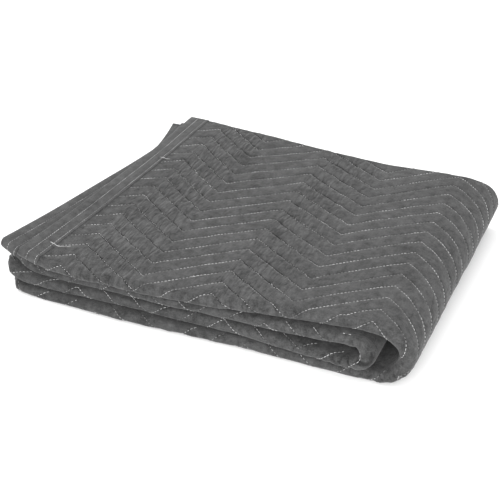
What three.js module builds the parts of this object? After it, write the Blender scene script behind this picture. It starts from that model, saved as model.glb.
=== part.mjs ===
// A quilted moving blanket, folded for storage: four plies deep across its width, then folded in half twice
// along its length. Millimetres, +Z up. It lies on the plane z = 0, with its long folded edge toward -Y and
// its rolled spine toward +X.
import * as THREE from "three";

// Sheet and quilting.
const SHEET = 2.4; // thickness of the quilted cloth
const PRESSED = 1.2; // its thickness where the binding presses it flat
const LINE_PITCH = 26.5; // from one line of quilting to the next, across the cloth
const HALF_PERIOD = 96; // from a crest of the zigzag to the next trough, along the cloth
const ZIGZAG = 67.5; // depth of the zigzag, crest to trough
const FIRST_CREST = -186; // where the crest nearest the bound end lies, along the cloth
const CREST_LINE = 11; // where one of the lines passes that crest, across the cloth
const PUFF = 1.0; // how far the filling lifts the face between two lines
const SEAM = 0.4; // how deep a line of quilting pulls the face in

// Binding: one strip of the same cloth, folded over every edge.
const TAPE = 0.5; // its thickness
const TAPE_GAP = 0.4; // between the tape and the cloth inside it
const TAPE_WIDTH = 28; // how far it reaches in from the edge, on both faces

// Rows of the mesh.
const ROWS_PER_LINE = 3; // across the cloth, from one quilting line to the next
const FOLD_STEPS = 6; // round a fold of four plies
const TIGHT_STEPS = 4; // round a fold of two plies

// The four-ply strip is followed from its upper end over the top, round the spine, back along the floor,
// round the left fold, along the third layer, round the inner spine and out to its lower end.
// x, z: middle of the strip at its front and at its back. pitch: from ply to ply. front, back: how far the
// strip reaches. cuts: columns of the mesh up to the next row. quilt: 1 where the face carries the quilting.
const STRIP = [
  { at: "upper end", x: [-243, -213], z: [56.2, 60], pitch: [3.4, 4.5], front: -202, back: 216, cuts: 1, quilt: 0 },
  { at: "upper binding, inner edge", x: [-214, -184], z: [47.2, 59.8], pitch: [3.4, 4.5], front: -203, back: 216, cuts: 2, quilt: 0 },
  { at: "first crest", x: [-184, -158], z: [44.8, 59.2], pitch: [3.4, 4.5], front: -204, back: 214, cuts: 4, quilt: 1 },
  { at: "first trough", x: [-90, -88], z: [47.9, 59.2], pitch: [3.8, 4.3], front: -208, back: 206, cuts: 4, quilt: 1 },
  { at: "second crest", x: [6, 6], z: [53.2, 57], pitch: [4.1, 4.1], front: -211, back: 195, cuts: 4, quilt: 1 },
  { at: "second trough", x: [102, 102], z: [60, 60.4], pitch: [4.0, 4.0], front: -204, back: 181, cuts: 4, quilt: 1 },
  { at: "third crest", x: [198, 198], z: [66.2, 64.4], pitch: [4.0, 4.0], front: -205, back: 174, cuts: 2, quilt: 1 },
  { at: "spine, top", x: [224, 228], z: [63.8, 61.8], pitch: [4.4, 4.3], front: -206, back: 175, cuts: 2, quilt: 1 },
  { at: "spine, upper", x: [242, 247], z: [52.6, 52.4], pitch: [5.0, 4.8], front: -207, back: 180, cuts: 2, quilt: 1 },
  { at: "spine, side", x: [248.5, 254], z: [37.0, 36.6], pitch: [5.4, 5.0], front: -208, back: 182, cuts: 2, quilt: 1 },
  { at: "spine, lower", x: [242.5, 247.5], z: [21.4, 21.2], pitch: [5.0, 4.8], front: -211, back: 180, cuts: 2, quilt: 1 },
  { at: "spine, bottom", x: [227.5, 230.5], z: [9.6, 9.6], pitch: [4.2, 4.2], front: -212, back: 177, cuts: 2, quilt: 0 },
  { at: "floor, right", x: [200, 200], z: [6.6, 6.6], pitch: [3.6, 3.6], front: -211, back: 174, cuts: 2, quilt: 0 },
  { at: "floor, middle", x: [50, 50], z: [6.6, 7.2], pitch: [3.6, 4.0], front: -209, back: 186, cuts: 2, quilt: 0 },
  { at: "floor, left", x: [-100, -100], z: [6.15, 7.65], pitch: [3.3, 4.3], front: -214, back: 203, cuts: 2, quilt: 0 },
  { at: "floor, end", x: [-238, -214], z: [5.55, 7.95], pitch: [2.9, 4.5], front: -207, back: 212, cuts: 1, quilt: 0 },
  { at: "lifts", x: [-250, -226], z: [7.2, 7.95], pitch: [2.8, 4.5], front: -204, back: 212, cuts: 1, quilt: 0 },
  { at: "lifting", x: [-260, -232], z: [12.5, 7.95], pitch: [2.8, 4.5], front: -190, back: 212, cuts: 1, quilt: 0 },
  { at: "left fold, start", x: [-267, -238], z: [16.7, 7.95], pitch: [2.8, 4.5], front: -174, back: 211, cuts: 1, quilt: 0 },
  { at: "left fold, low", x: [-271.3, -244], z: [18.7, 10.44], pitch: [2.8, 4.5], front: -171, back: 211, cuts: 1, quilt: 0 },
  { at: "left fold, apex", x: [-273.1, -246.5], z: [22.9, 16.45], pitch: [2.8, 4.5], front: -173, back: 210, cuts: 1, quilt: 0 },
  { at: "left fold, high", x: [-271.4, -244], z: [27.2, 22.46], pitch: [2.8, 4.5], front: -181, back: 210, cuts: 1, quilt: 0 },
  { at: "left fold, end", x: [-267, -238], z: [29, 25], pitch: [2.8, 4.5], front: -192, back: 210, cuts: 1, quilt: 0 },
  { at: "third layer, falls", x: [-258, -228], z: [26.8, 25.2], pitch: [2.8, 4.5], front: -203, back: 210, cuts: 1, quilt: 0 },
  { at: "third layer, low", x: [-238, -210], z: [20.8, 25.2], pitch: [2.8, 4.5], front: -205, back: 210, cuts: 2, quilt: 0 },
  { at: "third layer, left", x: [-100, -100], z: [20.0, 25.0], pitch: [3.3, 4.3], front: -204, back: 202, cuts: 2, quilt: 0 },
  { at: "third layer, middle", x: [50, 50], z: [21.6, 23.2], pitch: [3.9, 4.0], front: -206, back: 187, cuts: 2, quilt: 0 },
  { at: "third layer, right", x: [150, 150], z: [21.3, 21.6], pitch: [3.8, 3.9], front: -215, back: 176, cuts: 1, quilt: 0 },
  { at: "inner spine, start", x: [184, 184], z: [21.6, 21.6], pitch: [3.9, 3.9], front: -219, back: 173, cuts: 1, quilt: 0 },
  { at: "inner spine, low", x: [202, 202], z: [25.6, 25.4], pitch: [4.6, 4.4], front: -219, back: 171, cuts: 2, quilt: 0 },
  { at: "inner spine, apex", x: [207, 207], z: [36, 35.8], pitch: [5.4, 5.0], front: -218, back: 170, cuts: 2, quilt: 0 },
  { at: "inner spine, high", x: [201, 201], z: [46.4, 45.8], pitch: [4.6, 4.4], front: -217, back: 171, cuts: 1, quilt: 0 },
  { at: "inner spine, end", x: [182, 182], z: [49.8, 49.0], pitch: [3.9, 3.9], front: -215, back: 173, cuts: 1, quilt: 0 },
  { at: "second layer, right", x: [150, 150], z: [46.4, 46.0], pitch: [3.9, 3.9], front: -213, back: 176, cuts: 1, quilt: 0 },
  { at: "second layer, middle", x: [50, 50], z: [38.4, 39.0], pitch: [4.0, 4.0], front: -205, back: 187, cuts: 2, quilt: 0 },
  { at: "second layer, left", x: [-100, -100], z: [33.6, 41.4], pitch: [3.4, 4.3], front: -200, back: 202, cuts: 2, quilt: 0 },
  { at: "second layer, low", x: [-228, -176], z: [32.6, 41.4], pitch: [3.0, 4.5], front: -196, back: 210, cuts: 1, quilt: 0 },
  { at: "lower binding, inner edge", x: [-257, -195], z: [40.6, 41.7], pitch: [3.4, 4.3], front: -188, back: 210, cuts: 1, quilt: 0 },
  { at: "lower end", x: [-286, -224], z: [45, 41.5], pitch: [3.4, 4.3], front: -177, back: 209, cuts: 0, quilt: 0 },
];
const FLOOR = 0; // the plane it is pressed flat against
const SPLAY = 30; // how far the lowest ply sticks out past the top one, at the back of the upper end
const BOW = 6; // how far the middle of each end is drawn in
const END_ROWS = 3; // rows of the table over which both die away

// The free edges of the two lower plies, measured back from the fold above them.
const EDGE_BACK = { third: 7, fourth: 4 };
const BOUND = TAPE_WIDTH + 2; // the pressed margin
const RELEASE = 8; // over which the cloth regains its thickness

const OUTER = 1.5; // radius of the four-ply fold, in pitches
const INNER = 0.5; // radius of a two-ply fold, in pitches
const QUARTER = Math.PI / 2;
const SPREAD = [0.25, 0.5, 0.75]; // rows over a flat stretch, as parts of it
const { lerp, clamp } = THREE.MathUtils;

// One side of the strip's course, as a smooth curve of (x, pitch, z).
function course(side) {
  const points = STRIP.map((row) => new THREE.Vector3(row.x[side], row.pitch[side], row.z[side]));
  return new THREE.CatmullRomCurve3(points, false, "centripetal");
}
const COURSE = [course(0), course(1)];
const LAST = STRIP.length - 1;

// A column of the mesh: where the strip runs at a given place along its course.
function columnAt(along) {
  const row = Math.min(Math.floor(along), LAST - 1);
  const part = along - row;
  const at = along / LAST;
  const step = 1e-3;
  const sides = COURSE.map((curve) => {
    const middle = curve.getPoint(at);
    const ahead = curve.getPoint(Math.min(at + step, 1)).sub(curve.getPoint(Math.max(at - step, 0)));
    const run = Math.hypot(ahead.x, ahead.z);
    return { x: middle.x, pitch: middle.y, z: middle.z, dx: ahead.x / run, dz: ahead.z / run };
  });
  return {
    along,
    sides,
    front: lerp(STRIP[row].front, STRIP[row + 1].front, part),
    back: lerp(STRIP[row].back, STRIP[row + 1].back, part),
    quilt: STRIP[row].quilt && (part === 0 || STRIP[row + 1].quilt) ? 1 : 0,
    bound: along <= 1 || along >= LAST - 1,
  };
}

function columns() {
  const all = [];
  STRIP.forEach((row, i) => {
    for (let cut = 0; cut < row.cuts; cut++) all.push(columnAt(i + cut / row.cuts));
  });
  all.push(columnAt(LAST));
  return all;
}

// Blends two columns, for places inside a binding.
function between(a, b, part) {
  const sides = a.sides.map((side, i) => {
    const other = b.sides[i];
    const mixed = {};
    for (const key of Object.keys(side)) mixed[key] = lerp(side[key], other[key], part);
    return mixed;
  });
  const mix = (key) => lerp(a[key], b[key], part);
  return { along: mix("along"), sides, front: mix("front"), back: mix("back"), quilt: 0, bound: true };
}

// A row of the mesh across the folded plies. depth: 0 at the front of the flat stretch, 1 at its back.
// reach: how far outside it, in pitches. level: above the strip's middle, in pitches. turn: the direction
// in which the cloth runs there. back: a distance taken off the depth, for the free edges.
function flat(name, depth, level, turn, back = 0) {
  return { name, depth, reach: 0, level, turn, back, bound: false };
}

function fold(name, steps, point) {
  const rows = [];
  for (let i = 1; i < steps; i++) {
    const angle = lerp(-QUARTER, QUARTER, i / steps);
    rows.push({ name: name + i, back: 0, bound: false, ...point(angle) });
  }
  return rows;
}

// The rows between the two ends of a flat stretch.
function inner(name, from, to, level, turn) {
  return SPREAD.map((part) => flat(name + " at " + part, lerp(from, to, part), level, turn));
}

function margin(ply, level, turn) {
  const cut = EDGE_BACK[ply];
  return [
    { ...flat(ply + " edge", 1, level, turn, cut), bound: true },
    { ...flat(ply + " bound", 1, level, turn, cut + BOUND), bound: true },
    flat(ply + " released", 1, level, turn, cut + BOUND + RELEASE),
  ];
}

const ROWS = [
  ...margin("fourth", -OUTER, Math.PI),
  ...inner("fourth", 0.9, 0, -OUTER, Math.PI),
  flat("fourth front", 0, -OUTER, Math.PI),
  ...fold("outer", FOLD_STEPS, (angle) => ({
    depth: 0,
    reach: -OUTER * Math.cos(angle),
    level: OUTER * Math.sin(angle),
    turn: QUARTER - angle,
  })),
  flat("first front", 0, OUTER, 0),
  ...inner("first", 0, 1, OUTER, 0),
  flat("first back", 1, OUTER, 0),
  ...fold("back", TIGHT_STEPS, (angle) => ({
    depth: 1,
    reach: INNER * Math.cos(angle),
    level: 1 - INNER * Math.sin(angle),
    turn: -QUARTER - angle,
  })),
  flat("second back", 1, INNER, -Math.PI),
  ...inner("second", 1, 0, INNER, -Math.PI),
  flat("second front", 0, INNER, -Math.PI),
  ...fold("nested", TIGHT_STEPS, (angle) => ({
    depth: 0,
    reach: -INNER * Math.cos(angle),
    level: -INNER * Math.sin(angle),
    turn: angle - QUARTER,
  })),
  flat("third front", 0, -INNER, 0),
  ...inner("third", 0, 0.9, -INNER, 0),
  ...margin("third", -INNER, 0).reverse(),
];
const FIRST_FRONT = ROWS.findIndex((row) => row.name === "first front");
const FIRST_BACK = ROWS.findIndex((row) => row.name === "first back");
const FOURTH_FRONT = ROWS.findIndex((row) => row.name === "fourth front");

const sideAt = (column, depth, key) => lerp(column.sides[0][key], column.sides[1][key], depth);

// Where the flat stretch of a ply begins and ends in a column.
function stretch(column) {
  return {
    start: column.front + OUTER * column.sides[0].pitch,
    end: column.back - INNER * column.sides[1].pitch,
  };
}

// A point of the blanket: off is its height above the middle of the cloth, toward the quilted face.
function place(column, row, off) {
  const { start, end } = stretch(column);
  const depth = row.depth - row.back / (end - start);
  const pitch = sideAt(column, depth, "pitch");
  const run = Math.hypot(sideAt(column, depth, "dx"), sideAt(column, depth, "dz"));
  const up = new THREE.Vector2(-sideAt(column, depth, "dz"), sideAt(column, depth, "dx")).divideScalar(run);
  const rise = row.level * pitch + off * Math.cos(row.turn);
  const y = lerp(start, end, depth) + row.reach * pitch - off * Math.sin(row.turn);
  const deep = clamp(depth, 0, 1);
  const upper = clamp(1 - column.along / END_ROWS, 0, 1);
  const lower = clamp(1 - (LAST - column.along) / END_ROWS, 0, 1);
  const below = (OUTER - row.level) / (2 * OUTER);
  const splay = SPLAY * upper * deep ** 4 * below ** 2;
  const bow = BOW * (upper + lower) * Math.sin(Math.PI * deep);
  const x = sideAt(column, depth, "x") + rise * up.x - splay + bow;
  const z = sideAt(column, depth, "z") + rise * up.y;
  return new THREE.Vector3(x, y, Math.max(z, FLOOR));
}

const halfThickness = (column, row) => (column.bound || row.bound ? PRESSED : SHEET) / 2;

// Depth of the zigzag at a distance along the cloth: 0 at a crest, 1 at a trough.
function zigzag(distance) {
  const periods = (distance - FIRST_CREST) / (2 * HALF_PERIOD);
  return 1 - Math.abs(1 - 2 * (periods - Math.floor(periods)));
}

function lineShift(distance) {
  return CREST_LINE - ZIGZAG * zigzag(distance);
}

// How far the quilted face stands off its mean, between one line and the next.
function relief(distance, y) {
  const lines = (y - lineShift(distance)) / LINE_PITCH;
  return (PUFF + SEAM) * Math.sin(Math.PI * (lines - Math.floor(lines))) - SEAM;
}

// Vertices and triangles of a closed mesh.
class Shell {
  positions = [];
  faces = [];

  vertex(point) {
    this.positions.push(point.x, point.y, point.z);
    return this.positions.length / 3 - 1;
  }

  at(vertex, axis) {
    return this.positions[3 * vertex + axis];
  }

  // Every quad is split along the diagonal that rises from left-front to right-back, so that the twist
  // of one ply matches the twist of the next.
  quad(a, b, c, d, flip = false) {
    const splitAC = (this.at(c, 0) - this.at(a, 0)) * (this.at(c, 1) - this.at(a, 1)) > 0;
    const halves = splitAC ? [[a, b, c], [a, c, d]] : [[a, b, d], [b, c, d]];
    halves.forEach(([p, q, r]) => this.faces.push(...(flip ? [p, r, q] : [p, q, r])));
  }

  // Joins two rows of vertices whose names mostly match. Each entry is { name, order, vertex }.
  stitch(left, right, flip) {
    const inRight = new Set(right.map((entry) => entry.name));
    const inLeft = new Set(left.map((entry) => entry.name));
    const face = (a, b, c) => this.faces.push(...(flip ? [a, c, b] : [a, b, c]));
    let i = 0;
    let j = 0;
    while (i < left.length - 1 || j < right.length - 1) {
      const nextLeft = left[i + 1];
      const nextRight = right[j + 1];
      const a = left[i].vertex;
      const b = right[j].vertex;
      if (nextLeft && nextRight && nextLeft.name === nextRight.name) {
        this.quad(a, b, nextRight.vertex, nextLeft.vertex, flip);
        i++;
        j++;
      } else if (nextLeft && (!nextRight || goesFirst(nextLeft, nextRight, inRight, inLeft))) {
        face(a, b, nextLeft.vertex);
        i++;
      } else {
        face(a, b, nextRight.vertex);
        j++;
      }
    }
  }

  geometry() {
    const made = new THREE.BufferGeometry();
    made.setAttribute("position", new THREE.Float32BufferAttribute(this.positions, 3));
    made.setIndex(this.faces);
    made.computeVertexNormals();
    return made;
  }
}

function goesFirst(left, right, inRight, inLeft) {
  const leftAlone = !inRight.has(left.name);
  const rightAlone = !inLeft.has(right.name);
  if (leftAlone !== rightAlone) return leftAlone;
  return left.order < right.order;
}

// The quilted cloth: its plain face and its quilted face, each a grid of columns and rows, closed round
// the four edges.
function quiltedCloth(all) {
  const shell = new Shell();
  const distances = alongTheCloth(all);
  const plain = all.map((column) =>
    ROWS.map((row, order) => ({
      name: row.name,
      order,
      vertex: shell.vertex(place(column, row, -halfThickness(column, row))),
    })),
  );
  const quilted = all.map((column, i) => quiltedColumn(shell, column, distances[i]));
  for (let i = 0; i + 1 < all.length; i++) {
    shell.stitch(quilted[i], quilted[i + 1], false);
    shell.stitch(plain[i], plain[i + 1], true);
    closeEdge(shell, quilted, plain, i, 0, true);
    closeEdge(shell, quilted, plain, i, -1, false);
  }
  shell.stitch(plain[0], quilted[0], false);
  shell.stitch(plain.at(-1), quilted.at(-1), true);
  return shell.geometry();
}

// The strip between the two faces along a free side edge, from one column to the next.
function closeEdge(shell, quilted, plain, i, end, flip) {
  const [a, b] = [quilted[i].at(end).vertex, quilted[i + 1].at(end).vertex];
  const [c, d] = [plain[i + 1].at(end).vertex, plain[i].at(end).vertex];
  shell.quad(a, b, c, d, flip);
}

// How far each column lies along the cloth, on the top ply's face.
function alongTheCloth(all) {
  const middle = ROWS[FIRST_FRONT + 1];
  const points = all.map((column) => place(column, middle, SHEET / 2));
  const distances = [0];
  for (let i = 1; i < points.length; i++) {
    distances.push(distances[i - 1] + points[i].distanceTo(points[i - 1]));
  }
  const first = all.findIndex((column) => column.along === 2);
  return distances.map((distance) => distance - distances[first] + FIRST_CREST);
}

function quiltedColumn(shell, column, distance) {
  const entries = [];
  const add = (name, order, row, lift) => {
    const off = halfThickness(column, row) + lift;
    entries.push({ name, order, vertex: shell.vertex(place(column, row, off)) });
  };
  ROWS.forEach((row, order) => {
    const faced = column.quilt && order > FOURTH_FRONT && order <= FIRST_BACK;
    if (faced && order > FIRST_FRONT && order < FIRST_BACK) {
      if (order > FIRST_FRONT + 1) return;
      zigzagRows(column, distance).forEach((line) => add(line.name, line.order, line.row, line.lift));
      return;
    }
    const y = place(column, row, 0).y;
    add(row.name, order, row, faced ? relief(distance, y) : 0);
  });
  return entries;
}

// Rows that follow the lines of quilting over the top ply.
function zigzagRows(column, distance) {
  const { start, end } = stretch(column);
  const step = LINE_PITCH / ROWS_PER_LINE;
  const clear = step / 3;
  const shift = lineShift(distance);
  const rows = [];
  for (let line = Math.ceil((start + clear - shift) / step); shift + line * step < end - clear; line++) {
    const y = shift + line * step;
    const depth = (y - start) / (end - start);
    const row = flat("line " + line, depth, OUTER, 0);
    const order = lerp(FIRST_FRONT, FIRST_BACK, depth);
    rows.push({ name: row.name, order, row, lift: relief(distance, y) });
  }
  return rows;
}

// Section of a binding: how far in from the edge, and how far off the middle of the cloth.
const INSIDE = PRESSED / 2 + TAPE_GAP;
const OUTSIDE = INSIDE + TAPE;
const BINDING = [
  { inward: TAPE_WIDTH, off: OUTSIDE },
  { inward: 0, off: OUTSIDE },
  { inward: -TAPE_GAP - TAPE, off: OUTSIDE / 2 },
  { inward: -TAPE_GAP - TAPE, off: -OUTSIDE / 2 },
  { inward: 0, off: -OUTSIDE },
  { inward: TAPE_WIDTH, off: -OUTSIDE },
  { inward: TAPE_WIDTH, off: -INSIDE },
  { inward: -TAPE_GAP, off: -INSIDE },
  { inward: -TAPE_GAP, off: INSIDE },
  { inward: TAPE_WIDTH, off: INSIDE },
];

// A solid swept through a list of closed sections, with a flat cap at each end.
function sweep(sections, flip) {
  const shell = new Shell();
  const rings = sections.map((section) => section.map((point) => shell.vertex(point)));
  const count = rings[0].length;
  const face = (a, b, c) => shell.faces.push(...(flip ? [a, c, b] : [a, b, c]));
  for (let i = 0; i + 1 < rings.length; i++) {
    for (let k = 0; k < count; k++) {
      const next = (k + 1) % count;
      shell.quad(rings[i][k], rings[i + 1][k], rings[i + 1][next], rings[i][next], flip);
    }
  }
  const outline = BINDING.map((point) => new THREE.Vector2(point.inward, point.off));
  for (const [a, b, c] of THREE.ShapeUtils.triangulateShape(outline, [])) {
    const [first, last] = [rings[0], rings.at(-1)];
    face(first[a], first[b], first[c]);
    face(last[a], last[c], last[b]);
  }
  return shell.geometry();
}

// The binding over one end of the blanket: it crosses all four plies.
function endBinding(edge, inward, flip) {
  const widths = edge.sides.map((side, i) => {
    const other = inward.sides[i];
    return Math.hypot(side.x - other.x, side.z - other.z);
  });
  const sections = ROWS.map((row) => {
    const width = lerp(widths[0], widths[1], row.depth);
    return BINDING.map((corner) => place(between(edge, inward, corner.inward / width), row, corner.off));
  });
  return sweep(sections, flip);
}

// The binding along one side of the blanket: it follows one ply's free edge the whole way.
function sideBinding(all, ply, flip) {
  const edge = ROWS.find((row) => row.name === ply + " edge");
  const inside = all.filter((column) => column.along >= 1 && column.along <= LAST - 1);
  const sections = inside.map((column) =>
    BINDING.map(({ inward, off }) => place(column, { ...edge, back: edge.back + inward }, off)),
  );
  return sweep(sections, flip);
}

const FELT = new THREE.MeshStandardMaterial({ color: 0x58585a, roughness: 0.95, metalness: 0 });
const BINDING_FELT = new THREE.MeshStandardMaterial({ color: 0x646466, roughness: 0.9, metalness: 0 });

function named(name, geometry, material) {
  const mesh = new THREE.Mesh(geometry, material);
  mesh.name = name;
  return mesh;
}

function movingBlanket() {
  const all = columns();
  const blanket = new THREE.Group();
  blanket.add(
    named("quilted_cloth", quiltedCloth(all), FELT),
    named("end_binding_upper", endBinding(all[0], all[1], false), BINDING_FELT),
    named("end_binding_lower", endBinding(all.at(-1), all.at(-2), true), BINDING_FELT),
    named("side_binding_third_ply", sideBinding(all, "third", false), BINDING_FELT),
    named("side_binding_fourth_ply", sideBinding(all, "fourth", true), BINDING_FELT),
  );
  const middle = new THREE.Box3().setFromObject(blanket).getCenter(new THREE.Vector3());
  blanket.position.set(-middle.x, -middle.y, 0);
  return blanket;
}

export default movingBlanket();
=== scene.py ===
"""A quilted moving blanket, folded for storage.

The blanket is folded four plies deep across its width and then in half twice along its length.
The file builds the quilted cloth as one sheet on those folds, the felt binding over its four
edges, and the thread of its quilting and its binding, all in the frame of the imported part.
"""

from __future__ import annotations

import logging
import math
from dataclasses import dataclass, field, fields
from enum import Enum
from typing import Any, Sequence

import bpy
import numpy as np
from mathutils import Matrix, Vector
from mathutils.bvhtree import BVHTree


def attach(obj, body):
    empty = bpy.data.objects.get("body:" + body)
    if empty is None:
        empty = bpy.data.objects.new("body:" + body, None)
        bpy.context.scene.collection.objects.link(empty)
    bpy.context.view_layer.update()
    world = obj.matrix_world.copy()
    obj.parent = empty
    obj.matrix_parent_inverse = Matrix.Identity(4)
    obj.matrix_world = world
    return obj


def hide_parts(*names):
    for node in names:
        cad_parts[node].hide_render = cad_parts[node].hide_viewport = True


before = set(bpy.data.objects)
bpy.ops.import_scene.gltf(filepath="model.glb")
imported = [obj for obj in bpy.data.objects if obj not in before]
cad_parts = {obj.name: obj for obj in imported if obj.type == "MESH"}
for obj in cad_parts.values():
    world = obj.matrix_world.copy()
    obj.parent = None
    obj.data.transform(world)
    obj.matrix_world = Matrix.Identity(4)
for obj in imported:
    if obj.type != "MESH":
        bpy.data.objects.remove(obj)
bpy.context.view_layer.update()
MM = 0.001
LOG = logging.getLogger("blanket")
Array = np.ndarray


# ---------------------------------------------------------------- sizes of the blanket


@dataclass(frozen=True)
class Quilting:
    """The zigzag quilting, in millimetres.

    Attributes:
        pitch: from one line to the next, across the cloth.
        half_period: from a crest of the zigzag to the next trough, along the cloth.
        depth: crest to trough.
        first_crest: where the crest nearest the bound end lies, along the cloth.
        crest_line: where one of the lines passes that crest, across the cloth.
        puff: how far the filling lifts the face between two lines.
        rise: how soon the face rises beside a line; smaller is sooner.
        calm_from: where the thread stops pulling hard, along the cloth.
        calm_to: where it lies slack, along the cloth.
        grip: how sharply the pull comes on at the start of a falling leg.
        slack: how much of the pull is gone where the thread lies slack.
    """

    pitch: float = 26.5
    half_period: float = 96.0
    depth: float = 67.5
    first_crest: float = -186.0
    crest_line: float = 11.0
    puff: float = 0.95
    rise: float = 0.5
    calm_from: float = 30.0
    calm_to: float = 130.0
    grip: float = 1.6
    slack: float = 0.85

    def phase(self, distance: Array) -> Array:
        """Place in the zigzag: 0 to 1 falls from a crest to a trough, 1 to 2 rises again."""
        return np.mod((distance - self.first_crest) / self.half_period, 2.0)

    def shift(self, distance: Array) -> Array:
        """Where the line numbered 0 lies, across the cloth."""
        phase = self.phase(distance)
        return self.crest_line - self.depth * np.where(phase < 1.0, phase, 2.0 - phase)

    def pull(self, distance: Array) -> Array:
        """How hard the thread pulls: 1 on the falling legs near the bound end, little elsewhere.

        Args:
            distance: distance along the cloth.

        Returns:
            The pull at each place.
        """
        falling = np.clip(0.5 + self.grip * np.sin(math.pi * self.phase(distance)), 0.0, 1.0)
        calm = np.clip((distance - self.calm_from) / (self.calm_to - self.calm_from), 0.0, 1.0)
        return falling * (1 - self.slack * calm)

    def run(self, distance: Array) -> Array:
        """Distance along a line of quilting."""
        return distance / math.cos(math.atan2(self.depth, self.half_period))

    def number(self, distance: Array, across: Array) -> Array:
        """The number of the line at a place, with its fraction."""
        return (across - self.shift(distance)) / self.pitch


@dataclass(frozen=True)
class Cloth:
    """Thicknesses and margins of the cloth and its binding, in millimetres.

    Attributes:
        thickness: of the quilted cloth.
        pressed: its thickness under the binding.
        past_tape: how far past the binding it stays pressed.
        release: over how much more it puffs up again.
        tape: thickness of the binding's felt.
        tape_gap: between the cloth and the binding.
        tape_width: how far in from an edge the binding reaches.
        third_back: how far short of its flat stretch's back the third ply ends.
        fourth_back: the same for the fourth ply.
    """

    thickness: float = 2.4
    pressed: float = 1.2
    past_tape: float = 2.0
    release: float = 9.0
    tape: float = 0.5
    tape_gap: float = 0.4
    tape_width: float = 28.0
    third_back: float = 7.0
    fourth_back: float = 4.0

    @property
    def bound(self) -> float:
        """How far in from an edge the cloth is pressed flat."""
        return self.tape_width + self.past_tape

    @property
    def inside(self) -> float:
        """Height of the tape's inner face over the middle of the cloth."""
        return self.pressed / 2 + self.tape_gap

    @property
    def outside(self) -> float:
        """Height of the tape's outer face over the middle of the cloth."""
        return self.inside + self.tape


@dataclass(frozen=True)
class Station:
    """One place along the strip of four plies, in millimetres.

    Attributes:
        at: its name.
        x: middle of the strip, along the blanket, at the front and at the back.
        z: middle of the strip, above the floor, at both.
        pitch: from ply to ply, at both.
        front: how far forward the strip reaches.
        back: how far back it reaches.
        step: greatest distance between the columns of the mesh up to the next station.
    """

    at: str
    x: tuple[float, float]
    z: tuple[float, float]
    pitch: tuple[float, float]
    front: float
    back: float
    step: float


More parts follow.
